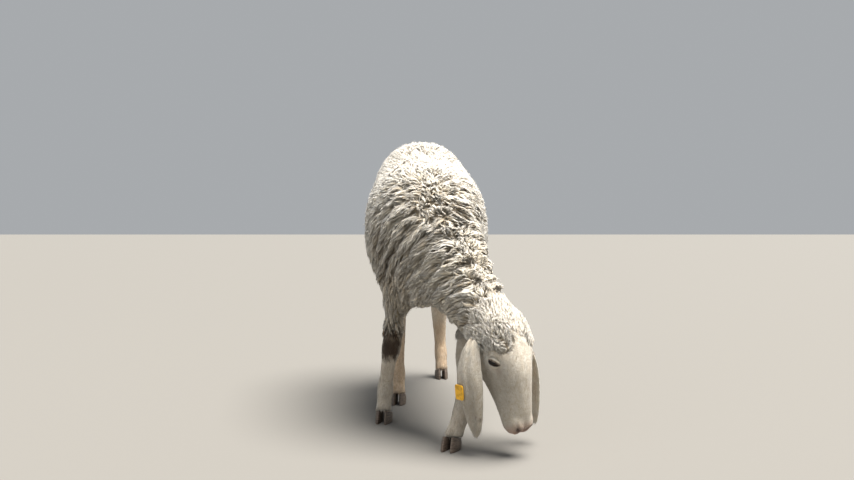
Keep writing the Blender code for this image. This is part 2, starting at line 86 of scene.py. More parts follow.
def ease(low, high, x):
    """0 below low, 1 above high, and an S-curve 3t^2 - 2t^3 between them."""
    t = np.clip((np.asarray(x, dtype=float) - low) / (high - low), 0.0, 1.0)
    return t * t * (3 - 2 * t)


def bell(x, width):
    """A bump exp(-(x/width)^2), 1 at x = 0."""
    return np.exp(-((np.asarray(x) / width) ** 2))


def linear(code):
    """An sRGB hex colour as linear red, green and blue."""
    value = np.array([int(code[i : i + 2], 16) for i in (1, 3, 5)]) / 255
    return np.where(value <= 0.04045, value / 12.92, ((value + 0.055) / 1.055) ** 2.4)


def middle_of(node):
    """The middle of a solid's box."""
    low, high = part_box(node)
    return np.array((low + high) / 2)


# The head has axes of its own: down the nose, up through the brow, and to the animal's right.
NOSE = unit((0.19, -0.19, -0.96))
BROW = unit(np.array((0.574, -0.819, 0.0)) - np.dot((0.574, -0.819, 0.0), NOSE) * NOSE)
RIGHT = np.cross(NOSE, BROW)
EYE_PLACE = (0.095, 0.021, 0.0430)
MUZZLE = 0.196  # how far down the nose the muzzle starts
NOSTRIL_OUT, NOSTRIL_UP = 0.0135, 0.012
EYE_RADIUS = 0.0125
LID_HALF_LENGTH = 0.0122
UPPER_LID = 0.0060
LOWER_LID = 0.0047
POLL = (middle_of("eye_right") + middle_of("eye_left")) / 2 - EYE_PLACE[0] * NOSE - EYE_PLACE[1] * BROW
# The places below are drawn from a point near the shoulders. This carries them to the floor's middle.
SHIFT = POLL - np.array((0.146, -0.424, 0.288))

# The body as rods that run the way its hair lies: start, end, thickness, direction that the coat falls away
# from, how strongly it falls, how strongly it runs along the rod, and depth of the coat.
RODS = {
    "trunk": ((0.000, -0.200, 0.460), (-0.010, 0.210, 0.540), 0.150, (0, 0, 1), 0.90, 0.50, 0.026),
    "neck": ((0.098, -0.360, 0.325), (0.020, -0.250, 0.450), 0.088, (0.28, -0.74, 0.60), 1.00, 0.15, 0.023),
    "head": ((0.1885, -0.4665, 0.0730), (0.1460, -0.4240, 0.282), 0.054, (0.574, -0.819, 0.05), 0.25, 1.0, 0.008),
    "tail": ((-0.019, 0.345, 0.640), (-0.014, 0.383, 0.430), 0.028, (0, 1, 0.3), 0.25, 1.00, 0.013),
    "arm_right": ((-0.086, -0.215, 0.330), (-0.0875, -0.199, 0.185), 0.032, (0, -1, 0), 0.0, 1.0, 0.010),
    "shank_right": ((-0.0875, -0.199, 0.185), (-0.105, -0.186, 0.035), 0.020, (0, -1, 0), 0.0, 1.0, 0.0022),
    "arm_left": ((0.102, -0.220, 0.330), (0.088, -0.306, 0.188), 0.032, (0, -1, 0), 0.0, 1.0, 0.010),
    "shank_left": ((0.088, -0.306, 0.188), (0.060, -0.405, 0.035), 0.020, (0, -1, 0), 0.0, 1.0, 0.0022),
    "thigh_right": ((-0.100, 0.110, 0.380), (-0.082, 0.070, 0.215), 0.045, (0, -1, 0), 0.0, 1.0, 0.014),
    "hock_right": ((-0.082, 0.070, 0.215), (-0.0785, 0.000, 0.035), 0.020, (0, -1, 0), 0.0, 1.0, 0.0022),
    "thigh_left": ((0.058, 0.220, 0.380), (0.039, 0.348, 0.215), 0.045, (0, -1, 0), 0.0, 1.0, 0.014),
    "hock_left": ((0.039, 0.348, 0.215), (0.0455, 0.338, 0.035), 0.020, (0, -1, 0), 0.0, 1.0, 0.0022),
}
ROD_NAMES = list(RODS)
NECK = ROD_NAMES.index("neck")
START = np.array([rod[0] for rod in RODS.values()]) + SHIFT
REACH = np.array([rod[1] for rod in RODS.values()]) + SHIFT - START
LONG = np.linalg.norm(REACH, axis=1)
ALONG = unit(REACH)
THICK = np.array([rod[2] for rod in RODS.values()])
CREST = unit([rod[3] for rod in RODS.values()])
FALL = np.array([rod[4] for rod in RODS.values()])
RUN = np.array([rod[5] for rod in RODS.values()])
DEPTH = np.array([rod[6] for rod in RODS.values()])

EAR_THICKNESS = 0.0044
# Each ear, from inside the head to its tip: centre, half width, how far its edges fold back, outer face.
EARS = {
    "right": (
        ((0.127, -0.430, 0.250), 0.010, 0.002, (-0.10, -0.10, 1.00)),
        ((0.118, -0.440, 0.258), 0.011, 0.002, (-0.10, -0.10, 1.00)),
        ((0.099, -0.458, 0.249), 0.015, 0.005, (-0.45, -0.45, 0.75)),
        ((0.087, -0.472, 0.226), 0.0215, 0.010, (-0.52, -0.75, 0.35)),
        ((0.083, -0.481, 0.185), 0.028, 0.011, (-0.45, -0.89, 0.00)),
        ((0.086, -0.483, 0.145), 0.029, 0.009, (-0.45, -0.89, 0.00)),
        ((0.092, -0.481, 0.105), 0.024, 0.007, (-0.45, -0.89, 0.00)),
        ((0.098, -0.476, 0.068), 0.017, 0.004, (-0.45, -0.89, 0.00)),
        ((0.101, -0.472, 0.049), 0.010, 0.002, (-0.45, -0.89, 0.00)),
        ((0.102, -0.470, 0.042), 0.004, 0.000, (-0.45, -0.89, 0.00)),
    ),
    "left": (
        ((0.164, -0.404, 0.252), 0.010, 0.002, (0.10, 0.10, 1.00)),
        ((0.176, -0.397, 0.260), 0.011, 0.002, (0.10, 0.10, 1.00)),
        ((0.199, -0.382, 0.251), 0.015, 0.005, (0.45, 0.35, 0.75)),
        ((0.217, -0.369, 0.228), 0.0215, 0.010, (0.74, 0.54, 0.35)),
        ((0.230, -0.360, 0.188), 0.030, 0.011, (0.82, 0.57, 0.00)),
        ((0.235, -0.358, 0.148), 0.031, 0.009, (0.82, 0.57, 0.00)),
        ((0.237, -0.360, 0.108), 0.028, 0.007, (0.82, 0.57, 0.00)),
        ((0.238, -0.364, 0.072), 0.020, 0.004, (0.82, 0.57, 0.00)),
        ((0.239, -0.367, 0.051), 0.011, 0.002, (0.82, 0.57, 0.00)),
        ((0.239, -0.368, 0.044), 0.004, 0.000, (0.82, 0.57, 0.00)),
    ),
}

# Where each foot stands: the middle of its sole, and how far it turns outwards from straight ahead.
STANCE = {
    "fore_right": ((-0.107, -0.196), math.radians(10)),
    "fore_left": ((0.050, -0.420), math.radians(-22)),
    "hind_right": ((-0.078, -0.009), math.radians(6)),
    "hind_left": ((0.046, 0.328), math.radians(6)),
}

# Places of the markings, among them the dust and painted shade at the right shoulder and under the throat, and the
# elbow where the fleece lies close.
SHOULDER_DIRT_AND_SHADE = np.array((-0.110, -0.230, 0.380)) + SHIFT
THROAT_DIRT_AND_SHADE = np.array((0.055, -0.360, 0.250)) + SHIFT
KNEE_STAIN = np.array((-0.090, -0.222, 0.193)) + SHIFT
RIGHT_ELBOW = np.array((-0.122, -0.222, 0.345)) + SHIFT
TEAR_STAIN = (0.116, 0.024, 0.046)  # down the nose, up to the brow, and out to either side

# Behind each fetlock, the middle between its two dewclaws.
DEWCLAWS = {
    "fore_right": (-0.105, -0.164, 0.069),
    "fore_left": (0.073, -0.369, 0.069),
    "hind_right": (-0.079, 0.028, 0.069),
    "hind_left": (0.0445, 0.370, 0.069),
}

# The bake map's boxes: left, bottom, width, height.
MAP_BOXES = {
    "trunk": (0.005, 0.005, 0.560, 0.590),
    "neck": (0.575, 0.005, 0.420, 0.290),
    "head": (0.575, 0.305, 0.420, 0.290),
    "tail": (0.005, 0.605, 0.120, 0.190),
    "arm_right": (0.135, 0.605, 0.120, 0.190),
    "arm_left": (0.265, 0.605, 0.120, 0.190),
    "shank_right": (0.395, 0.605, 0.120, 0.190),
    "shank_left": (0.525, 0.605, 0.120, 0.190),
    "hock_right": (0.655, 0.605, 0.120, 0.190),
    "hock_left": (0.785, 0.605, 0.120, 0.190),
    "thigh_right": (0.005, 0.805, 0.180, 0.190),
    "thigh_left": (0.195, 0.805, 0.180, 0.190),
    "ear_right": (0.385, 0.805, 0.180, 0.190),
    "ear_left": (0.575, 0.805, 0.180, 0.190),
    "lids": (0.765, 0.805, 0.180, 0.190),
}


# ---------------------------------------------------------------------------------------------- where things lie


def head_axes(points):
    """How far along the nose, up to the brow and to the right each point lies from the poll."""
    away = points - POLL
    return away @ NOSE, away @ BROW, away @ RIGHT


def head_point(along, up, side):
    """The place this far along the nose, up to the brow and to the right from the poll."""
    return POLL + along * NOSE + up * BROW + side * RIGHT


def rod_gaps(points):
    """Distance from every point to every rod's surface: to the nearest place on its axis, less its thickness."""
    away = points[:, None, :] - START
    along = np.clip(np.sum(away * ALONG, axis=-1), 0.0, LONG)
    return np.linalg.norm(away - along[..., None] * ALONG, axis=-1) - THICK


def rod_shares(points):
    """How much each rod rules at every point: exp(-gap / 12 mm), made to add up to 1."""
    gaps = rod_gaps(points)
    share = np.exp(-(gaps - gaps.min(axis=1, keepdims=True)) / 0.012)
    return share / share.sum(axis=1, keepdims=True)


def named_shares(points):
    """How much each rod rules at every point, by the rod's name."""
    return dict(zip(ROD_NAMES, rod_shares(points).T))


def head_share(points):
    """How much the head rules at every point, its ears included."""
    return named_shares(points)["head"]


def ripple(points, size, seed):
    """Smooth noise from -1 to 1: the mean of seven sine waves of about this size in seeded directions."""
    rng = np.random.default_rng(seed)
    ways = unit(rng.normal(size=(7, 3))) * (2 * math.pi / size) * rng.uniform(0.6, 1.5, (7, 1))
    return np.clip(np.sin(points @ ways.T + rng.uniform(0, 2 * math.pi, 7)).mean(axis=1) * 2.0, -1, 1)


def softness(points):
    """1 where the wool is short, dense and tousled, on back, rump and crown; 0 where it hangs in long locks."""
    share = named_shares(points)
    left = ease(-0.04, 0.10, points[:, 0] - SHIFT[0])
    high = ease(0.42, 0.60, points[:, 2] + 0.10 * left + 0.03 * ripple(points, 0.08, 6))
    behind = ease(-0.24, -0.10, points[:, 1] - SHIFT[1])
    return np.clip(share["trunk"] * high * (0.45 + 0.55 * behind) + share["head"], 0, 1)


def lie(points, normals):
    """The way the coat lies: along the rods and away from their crests, flat to the skin, and how sure it is as the
    length. Cowlicks, stronger where the wool is tousled, take over where these cancel out, and hair parts round
    each eye."""
    share = rod_shares(points)
    run = (share * RUN) @ ALONG
    crest = (share * FALL) @ CREST
    way = run - (crest - dot(crest, normals) * normals)
    woolly = wool(points)
    loose = 0.10 + 0.18 * woolly + 0.72 * softness(points) * woolly
    swirl = np.stack([ripple(points, COWLICK, seed) for seed in (3, 4, 10)], axis=1)
    way = way + swirl * loose[:, None]
    for mirror in (1, -1):
        away = points - eye_frame(mirror)[0]
        way = way + 4.0 * bell(np.linalg.norm(away, axis=1), 0.021)[:, None] * unit(away)
    return way - dot(way, normals) * normals


def crown(points):
    """1 on the woolly crown, fading to 0 on the forehead, and on the rounded pad over each eye."""
    along, up, side = head_axes(points)
    uneven = 0.004 * ripple(points, 0.016, 8)
    top = 1 - ease(0.015, 0.072, along + uneven + 0.25 * np.maximum(-up, 0))
    pad = np.hypot((along - 0.052) / 0.034, (np.abs(side) - 0.037) / 0.023)
    return np.maximum(top, (1 - ease(0.70, 1.14, pad + 12 * uneven)) * ease(-0.012, 0.004, up))


def wool(points):
    """1 where wool grows and 0 where the hair is short: the face, the ears and the legs below knee and hock."""
    share = named_shares(points)
    height = points[:, 2] + 0.012 * ripple(points, 0.03, 5)
    total = share["trunk"] + share["neck"] + share["tail"] + share["head"] * crown(points)
    total = total + (share["arm_right"] + share["arm_left"]) * ease(0.205, 0.245, height)
    return np.clip(total + (share["thigh_right"] + share["thigh_left"]) * ease(0.235, 0.285, height), 0, 1)


def coat_depth(points):
    """How far the coat's tips stand over the skin."""
    share = rod_shares(points)
    woolly = wool(points)
    thick = share @ DEPTH
    return woolly**1.5 * np.maximum(thick, 0.0045) + (1 - woolly**1.5) * np.minimum(thick, 0.0014)


# ---------------------------------------------------------------------------------------------------- mesh tools


def mesh_object(name, points, faces, material, patch=None, **layers):
    """An object from an array of points and arrays of faces, with bake coordinates for each corner and attributes
    for each point."""
    mesh = bpy.data.meshes.new(name)
    sizes = np.concatenate([np.full(len(group), group.shape[1]) for group in faces])
    corners = np.concatenate([group.ravel() for group in faces]).astype(np.int32)
    mesh.vertices.add(len(points))
    place_points(mesh, points)
    mesh.loops.add(len(corners))
    mesh.loops.foreach_set("vertex_index", corners)
    mesh.polygons.add(len(sizes))
    mesh.polygons.foreach_set("loop_start", np.concatenate(([0], np.cumsum(sizes)[:-1])).astype(np.int32))
    mesh.update(calc_edges=True)
    mesh.shade_smooth()
    if patch is not None:
        layer = mesh.uv_layers.new(name="OFBake")
        layer.data.foreach_set("uv", patch.astype(np.float32).ravel())
    for key, values in layers.items():
        add_layer(mesh, key, values)
    made = bpy.data.objects.new(name, mesh)
    bpy.context.scene.collection.objects.link(made)
    mesh.materials.append(material)
    return made


def place_points(mesh, points):
    """Puts a mesh's points where an array says."""
    mesh.vertices.foreach_set("co", np.ascontiguousarray(points, dtype=np.float32).ravel())
    mesh.update()


def add_layer(mesh, key, values):
    """One number, or three, for each point of a mesh, under a name that materials read."""
    flat = np.ascontiguousarray(values, dtype=np.float32)
    kind, field = ("FLOAT", "value") if flat.ndim == 1 else ("FLOAT_VECTOR", "vector")
    mesh.attributes.new(key, kind, "POINT").data.foreach_set(field, flat.ravel())


def read(owner, key, width, kind=np.float32):
    """A property of every item of a mesh's list, as an array."""
    values = np.empty(len(owner) * width, kind)
    owner.foreach_get(key, values)
    return values.reshape(-1, width) if width > 1 else values


def points_of(mesh):
    """The places of a mesh's points."""
    return read(mesh.vertices, "co", 3).astype(float)


def face_corners(mesh, size):
    """The numbers of the corners of each face that has this many of them."""
    totals = read(mesh.polygons, "loop_total", 1, np.int32)
    return read(mesh.polygons, "loop_start", 1, np.int32)[totals == size][:, None] + np.arange(size)


def normals_of(mesh):
    """The smooth normals at a mesh's points."""
    return read(mesh.vertex_normals, "vector", 3).astype(float)


def evaluated_mesh(thing):
    """A new mesh of what an object's modifiers make of it."""
    return bpy.data.meshes.new_from_object(thing.evaluated_get(bpy.context.evaluated_depsgraph_get()))


def relaxed(points, edges, passes):
    """Each point moved half way to the mean of its neighbours, in as many passes as asked."""
    count = np.bincount(edges.ravel(), minlength=len(points))[:, None]
    for _ in range(passes):
        total = np.empty_like(points)
        for axis in range(3):
            total[:, axis] = np.bincount(edges[:, 0], points[edges[:, 1], axis], len(points))
            total[:, axis] += np.bincount(edges[:, 1], points[edges[:, 0], axis], len(points))
        points = points + 0.5 * (total / count - points)
    return points


def smooth_rows(rows, between):
    """Rows of numbers, with more rows between them along a Catmull-Rom curve."""
    ends = np.vstack((2 * rows[0] - rows[1], rows, 2 * rows[-1] - rows[-2]))
    t = (np.arange(between) / between)[None, :, None]
    before, start, end, after = (ends[i : len(ends) - 3 + i, None, :] for i in range(4))
    bend = 2 * before - 5 * start + 4 * end - after
    twist = 3 * start - before - 3 * end + after
    found = start + 0.5 * t * ((end - before) + t * (bend + t * twist))
    return np.vstack((found.reshape(-1, rows.shape[1]), rows[-1:]))


def grid_faces(rows, columns, closed=True):
    """The quads of a grid of points, rows by columns, its columns joined round when closed."""
    row, column = np.meshgrid(np.arange(rows - 1), np.arange(columns if closed else columns - 1), indexing="ij")
    right = (column + 1) % columns
    quads = (row * columns + column, row * columns + right, (row + 1) * columns + right, (row + 1) * columns + column)
    return np.stack(quads, axis=-1).reshape(-1, 4)


def pole_faces(rows, columns):
    """The triangles that close a grid at its first and last row, to two points that come after its own."""
    column = np.arange(columns)
    right = (column + 1) % columns
    last = (rows - 1) * columns
    first_cap = np.stack((np.full(columns, rows * columns), right, column), axis=1)
    last_cap = np.stack((np.full(columns, rows * columns + 1), last + column, last + right), axis=1)
    return np.vstack((first_cap, last_cap))


def finish(made, slot, *nodes):
    """Joins a finished piece to the frame: it rides on the body and stands for these solids."""
    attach(made, "root")
    if nodes:
        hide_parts(*nodes)
    return made


# ----------------------------------------------------------------------------------------------------- materials

WHITE = "#ffffff"
# A Mix node's sockets share their names, so they go by number.
VECTOR_A, VECTOR_B, VECTOR_MIXED = 4, 5, 1
COLOUR_A, COLOUR_B, COLOUR_MIXED = 6, 7, 2
MULTIPLY = {"data_type": "RGBA", "blend_type": "MULTIPLY", "Factor": 1.0}


def add_node(tree, kind, links=None, stops=(), **settings):
    """Adds a node. Settings are its properties, or its sockets' names with _ for a space. Links join its sockets, by
    name or number, to earlier outputs. Stops are a ramp's colours and their places."""
    node = tree.nodes.new(kind)
    for key, value in settings.items():
        if hasattr(node, key):
            setattr(node, key, value)
        else:
            node.inputs[key.replace("_", " ")].default_value = value
    for key, output in (links or {}).items():
        tree.links.new(output, node.inputs[key])
    for number, (code, place) in enumerate(stops):
        node.color_ramp.elements[number].color = rgba(code)
        node.color_ramp.elements[number].position = place
    return node


def rgba(code):
    """An sRGB hex colour as the four linear numbers that a node takes."""
    return (*linear(code).tolist(), 1.0)


def soft_normal(tree, share):
    """A normal between the surface's own and that of the body under it, as light scatters in a deep coat."""
    form = add_node(tree, "ShaderNodeNewGeometry")
    body = add_node(tree, "ShaderNodeAttribute", attribute_name="Ward")
    ends = {VECTOR_A: form.outputs["Normal"], VECTOR_B: body.outputs["Vector"]}
    blend = add_node(tree, "ShaderNodeMix", ends, data_type="VECTOR", Factor=share)
    made = add_node(tree, "ShaderNodeVectorMath", {0: blend.outputs[VECTOR_MIXED]}, operation="NORMALIZE")
    return made.outputs["Vector"]


def raw_crimped_wool(tree):
    """Raw wool, crimped as it grew: dull, soft, clean and creamy, greyed towards each lock's root by painted shade deep
    in the coat, with fibres and their bundles running along each lock."""
    tint = add_node(tree, "ShaderNodeAttribute", attribute_name="Tint")
    along = add_node(tree, "ShaderNodeAttribute", attribute_name="Along")
    strand = add_node(tree, "ShaderNodeAttribute", attribute_name="Strand")
    flow = {"Vector": strand.outputs["Vector"]}
    # Painted shade: each lock greyer towards its root, deep in the coat.
    roots = add_node(tree, "ShaderNodeValToRGB", {"Fac": along.outputs["Fac"]}, (("#d9cfbe", 0.0), (WHITE, 0.50)))
    # Fibres 0.4 mm apart: they show as fine streaks along the lock.
    fibres = add_node(tree, "ShaderNodeTexNoise", flow, Scale=2500.0, Detail=2.0)
    streaks = add_node(tree, "ShaderNodeValToRGB", {"Fac": fibres.outputs["Fac"]}, (("#efe8dc", 0.32), (WHITE, 0.60)))
    # Bundles of fibres 1.2 mm across: a lock reads as many strands, not as one smooth body.
    bundles = add_node(tree, "ShaderNodeTexNoise", flow, Scale=850.0, Detail=3.0)
    bands = add_node(tree, "ShaderNodeValToRGB", {"Fac": bundles.outputs["Fac"]}, (("#e2d9ca", 0.36), (WHITE, 0.56)))
    colour = tint.outputs["Color"]
    for layer in (roots, streaks, bands):
        pair = {COLOUR_A: colour, COLOUR_B: layer.outputs["Color"]}
        colour = add_node(tree, "ShaderNodeMix", pair, **MULTIPLY).outputs[COLOUR_MIXED]
    shape = {"Height": bundles.outputs["Fac"], "Normal": soft_normal(tree, 0.8)}
    grooves = add_node(tree, "ShaderNodeBump", shape, Strength=0.6, Distance=0.0010)
    hairs = {"Height": fibres.outputs["Fac"], "Normal": grooves.outputs["Normal"]}
    bump = add_node(tree, "ShaderNodeBump", hairs, Strength=0.5, Distance=0.0006)
    # Light passes from lock to lock for some millimetres, which softens the shade between them.
    return add_node(
        tree,
        "ShaderNodeBsdfPrincipled",
        {"Base Color": colour, "Normal": bump.outputs["Normal"]},
        Roughness=0.92,
        Specular_IOR_Level=0.15,
        Sheen_Weight=0.25,
        Sheen_Roughness=0.6,
        Subsurface_Weight=0.7,
        Subsurface_Radius=(1.0, 0.94, 0.86),
        Subsurface_Scale=0.013,
    )


def short_hair_on_hide(tree):
    """Short hair grown flat on living skin: a low sheen over soft streaks that run with the hair, and faint uneven
    patches where it lies thicker or thinner."""
    tint = add_node(tree, "ShaderNodeAttribute", attribute_name="Tint")
    place = add_node(tree, "ShaderNodeTexCoord")
    flow = add_node(tree, "ShaderNodeAttribute", attribute_name="Strand")
    # Clumps of hair are about 1.2 mm across. They are drawn 2.5 mm across so that they show.
    clumps = add_node(tree, "ShaderNodeTexNoise", {"Vector": flow.outputs["Vector"]}, Scale=400.0, Detail=5.0)
    streaks = add_node(tree, "ShaderNodeValToRGB", {"Fac": clumps.outputs["Fac"]}, (("#cfc6b8", 0.30), (WHITE, 0.62)))
    # Patches about 11 mm across.
    mottle = add_node(tree, "ShaderNodeTexNoise", {"Vector": place.outputs["Object"]}, Scale=90.0, Detail=3.0)
    patches = add_node(tree, "ShaderNodeValToRGB", {"Fac": mottle.outputs["Fac"]}, (("#f4f0ea", 0.35), (WHITE, 0.65)))
    colour = tint.outputs["Color"]
    for layer in (streaks, patches):
        pair = {COLOUR_A: colour, COLOUR_B: layer.outputs["Color"]}
        colour = add_node(tree, "ShaderNodeMix", pair, **MULTIPLY).outputs[COLOUR_MIXED]
    shape = {"Height": clumps.outputs["Fac"], "Normal": soft_normal(tree, 0.5)}
    bump = add_node(tree, "ShaderNodeBump", shape, Strength=0.8, Distance=0.0016)
    # Light passes through the thin ears and softens the folds of the face.
    return add_node(
        tree,
        "ShaderNodeBsdfPrincipled",
        {"Base Color": colour, "Normal": bump.outputs["Normal"]},
        Roughness=0.72,
        Specular_IOR_Level=0.25,
        Sheen_Weight=0.15,
        Subsurface_Weight=0.35,
        Subsurface_Radius=(1.0, 0.94, 0.88),
        Subsurface_Scale=0.008,
    )


def grown_hoof_horn(tree):
    """Hoof horn, grown in rings: dull brown, from nearly black to a worn grey-brown, ridged level with the ground."""
    place = add_node(tree, "ShaderNodeTexCoord")
    # Growth rings about 1.4 mm apart: seven times closer up the hoof than round it.
    stretch = add_node(tree, "ShaderNodeMapping", {"Vector": place.outputs["Object"]}, Scale=(1.0, 1.0, 7.0))
    rings = add_node(tree, "ShaderNodeTexNoise", {"Vector": stretch.outputs["Vector"]}, Scale=100.0, Detail=4.0)
    shade = add_node(tree, "ShaderNodeValToRGB", {"Fac": rings.outputs["Fac"]}, (("#2a211a", 0.30), ("#76675a", 0.72)))
    bump = add_node(tree, "ShaderNodeBump", {"Height": rings.outputs["Fac"]}, Strength=0.5, Distance=0.0008)
    ends = {"Base Color": shade.outputs["Color"], "Normal": bump.outputs["Normal"]}
    return add_node(tree, "ShaderNodeBsdfPrincipled", ends, Roughness=0.52)


def wet_eye(tree):
    """A living eye under its tear film: a clear wet coat over the dark iris and pupil, so that lights mirror in it."""
    tint = add_node(tree, "ShaderNodeAttribute", attribute_name="Tint")
    return add_node(
        tree,
        "ShaderNodeBsdfPrincipled",
        {"Base Color": tint.outputs["Color"]},
        Roughness=0.3,
        Specular_IOR_Level=0.0,
        Coat_Weight=1.0,
        Coat_IOR=1.34,
        Coat_Roughness=0.03,
    )


def moulded_polyurethane_tag(tree):
    """Soft polyurethane, moulded: warm yellow and satin, with scuffs and a little dirt from the field."""
    place = add_node(tree, "ShaderNodeTexCoord")
    # Dirt in blotches about 6 mm across, and scuffs of about 0.7 mm.
    dirt = add_node(tree, "ShaderNodeTexNoise", {"Vector": place.outputs["Object"]}, Scale=160.0, Detail=4.0)
    scuff = add_node(tree, "ShaderNodeTexNoise", {"Vector": place.outputs["Object"]}, Scale=1400.0, Detail=2.0)
    shade = add_node(tree, "ShaderNodeValToRGB", {"Fac": dirt.outputs["Fac"]}, (("#c08a14", 0.30), ("#efb523", 0.58)))
    bump = add_node(tree, "ShaderNodeBump", {"Height": scuff.outputs["Fac"]}, Strength=0.25, Distance=0.0003)
    ends = {"Base Color": shade.outputs["Color"], "Normal": bump.outputs["Normal"]}
    return add_node(tree, "ShaderNodeBsdfPrincipled", ends, Roughness=0.42)


def matt_painted_floor(tree):
    """Matt floor paint, rolled on: pale and even, with only a trace of the roller's grain, about 4 mm across."""
    place = add_node(tree, "ShaderNodeTexCoord")
    rolled = add_node(tree, "ShaderNodeTexNoise", {"Vector": place.outputs["Object"]}, Scale=260.0, Detail=2.0)
    bump = add_node(tree, "ShaderNodeBump", {"Height": rolled.outputs["Fac"]}, Strength=0.05, Distance=0.0004)
    ends = {"Normal": bump.outputs["Normal"]}
    return add_node(tree, "ShaderNodeBsdfPrincipled", ends, Base_Color=rgba("#6e6c68"), Roughness=0.85)


def look(maker):
    """The material whose nodes this function adds, made once and named after it."""
    name = maker.__name__.replace("_", " ")
    made = bpy.data.materials.get(name)
    if made is None:
        made = bpy.data.materials.new(name)
        made.use_nodes = True
        made.node_tree.nodes.clear()
        shader = maker(made.node_tree)
        add_node(made.node_tree, "ShaderNodeOutputMaterial", {"Surface": shader.outputs["BSDF"]})
    return made


# ------------------------------------------------------------------------------------------------------- colours


def coat_colour(points, colours):
    """The markings of skin and coat alike, with painted shade among them: creamy wool, darker low on the sides, at the
    right shoulder and at the throat, partly dust and partly painted shade; white face, with painted shade that greys
    the nose, the right cheek and the lower right ear; grey forelegs, dark mud on the right knee and tan hind shanks;
    pinkish muzzle, with nostrils and mouth painted dark as the shade in their hollows, and a faint tear stain."""
    woolly = wool(points)[:, None]
    part = named_shares(points)
    along, up, side = head_axes(points)
    colour = np.array(colours.hair) * (1 - woolly) + np.array(colours.wool) * woolly

    def stain(amount, key):
        nonlocal colour
        amount = np.clip(amount, 0, 1)[:, None]
        colour = colour * (1 - amount) + np.array(getattr(colours, key)) * amount

    stain(0.55 * (part["shank_right"] + part["shank_left"] + part["arm_right"] + part["arm_left"]), "grey_leg")
    hind_legs = part["hock_right"] + part["hock_left"] + 0.4 * (part["thigh_right"] + part["thigh_left"])
    stain(0.55 * hind_legs, "tan_leg")
    # Darker low on the trunk, at the right shoulder and under the throat: partly dust, partly painted shade where the
    # body shades itself.
    low = (1 - ease(0.30, 0.46, points[:, 2])) * part["trunk"] * (0.65 + 0.35 * ripple(points, 0.06, 11))
    stain(0.55 * low, "dirt")
    stain(0.75 * bell(distance(points, SHOULDER_DIRT_AND_SHADE), 0.110), "dirt")
    stain(0.60 * bell(distance(points, THROAT_DIRT_AND_SHADE), 0.055) * (part["neck"] + part["trunk"]), "dirt")
    spread = np.linalg.norm((points - KNEE_STAIN) / (1.0, 1.0, 1.15), axis=1) + 0.010 * ripple(points, 0.02, 12)
    stain(0.97 * (1 - ease(0.022, 0.046, spread)), "knee")
    # Face and muzzle lie near the head's axis, and the ears don't.
    near = part["head"] * (1 - ease(0.055, 0.075, np.hypot(up, side)))
    # Painted shade: the nose and the right cheek greyed as if in shade.
    stain(0.70 * ease(0.085, 0.15, along) * ease(-0.040, -0.022, side) * near, "face_shade")
    # Painted shade: the right ear greyed, more towards its lower end, as if in shade.
    right_ear_shade = (1 - near) * part["head"] * (side > 0.03) * ease(0.03, 0.06, along)
    stain(mix(0.35, 0.75, ease(0.08, 0.17, along)) * right_ear_shade, "face_shade")
    stain(0.55 * ease(0.218, 0.246, along) * near, "pink")
    # Painted shade: the nostrils and the slit of the mouth painted near black in the rim colour, as the shade in their
    # hollows.
    stain(0.97 * np.sqrt(nostril(along, up, side)) * part["head"], "rim")
    stain(0.75 * mouth(along, up) * part["head"], "rim")
    stain(0.35 * bell(distance(np.stack((along, up, np.abs(side)), axis=1), TEAR_STAIN), 0.008), "rust")
    return colour


# ---------------------------------------------------------------------------------------------------------- skin


def flesh_shell(voxel):
    """The flesh solids as one closed skin: swollen by half a millimetre so that the cuts between them close, then
    melted together, with the head's faces halved for its finer forms, and the muzzle's once more."""
    bm = bmesh.new()
    for name in FLESH:
        bm.from_mesh(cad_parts[name].data)
    bmesh.ops.remove_doubles(bm, verts=bm.verts, dist=1e-6)
    mesh = bpy.data.meshes.new("flesh")
    bm.to_mesh(mesh)
    bm.free()
    flesh = bpy.data.objects.new("flesh", mesh)
    bpy.context.scene.collection.objects.link(flesh)
    swell = flesh.modifiers.new("close the cuts", "DISPLACE")
    swell.strength = 0.0005
    swell.mid_level = 0.0
    melt = flesh.modifiers.new("melt", "REMESH")
    melt.mode = "VOXEL"
    melt.voxel_size = voxel
    melted = evaluated_mesh(flesh)
    bpy.data.objects.remove(flesh)
    for start in (0.0, MUZZLE):
        halve(melted, lambda points: (head_axes(points)[0] > start) & (head_share(points) > 0.7))
    return melted


def halve(mesh, wanted):
    """Splits in two every edge whose ends are both wanted, with its faces."""
    chosen = wanted(points_of(mesh))[read(mesh.edges, "vertices", 2, np.int32)].all(axis=1)
    bm = bmesh.new()
    bm.from_mesh(mesh)
    edges = [edge for edge, picked in zip(bm.edges, chosen) if picked]
    bmesh.ops.subdivide_edges(bm, edges=edges, cuts=1, use_grid_fill=True)
    bmesh.ops.triangulate(bm, faces=[face for face in bm.faces if len(face.verts) > 4])
    bm.to_mesh(mesh)
    bm.free()


def nostril(along, up, side):
    """1 in the slanting comma of each nostril, 0 outside it: one bell along the slant, and a narrower one across it
    that bends with the square of the way along."""
    out, up = np.abs(side) - NOSTRIL_OUT, up - NOSTRIL_UP
    slant = out * 0.75 + up * 0.66
    across = up * 0.75 - out * 0.66
    return bell(slant, 0.0080) * bell(across - 14 * slant**2, 0.0034) * ease(0.218, 0.230, along)


def mouth(along, up):
    """1 in the closed slit between the lips."""
    lips = -0.010 - 0.45 * (0.245 - along)
    return bell(up - lips, 0.0018) * ease(0.190, 0.204, along)


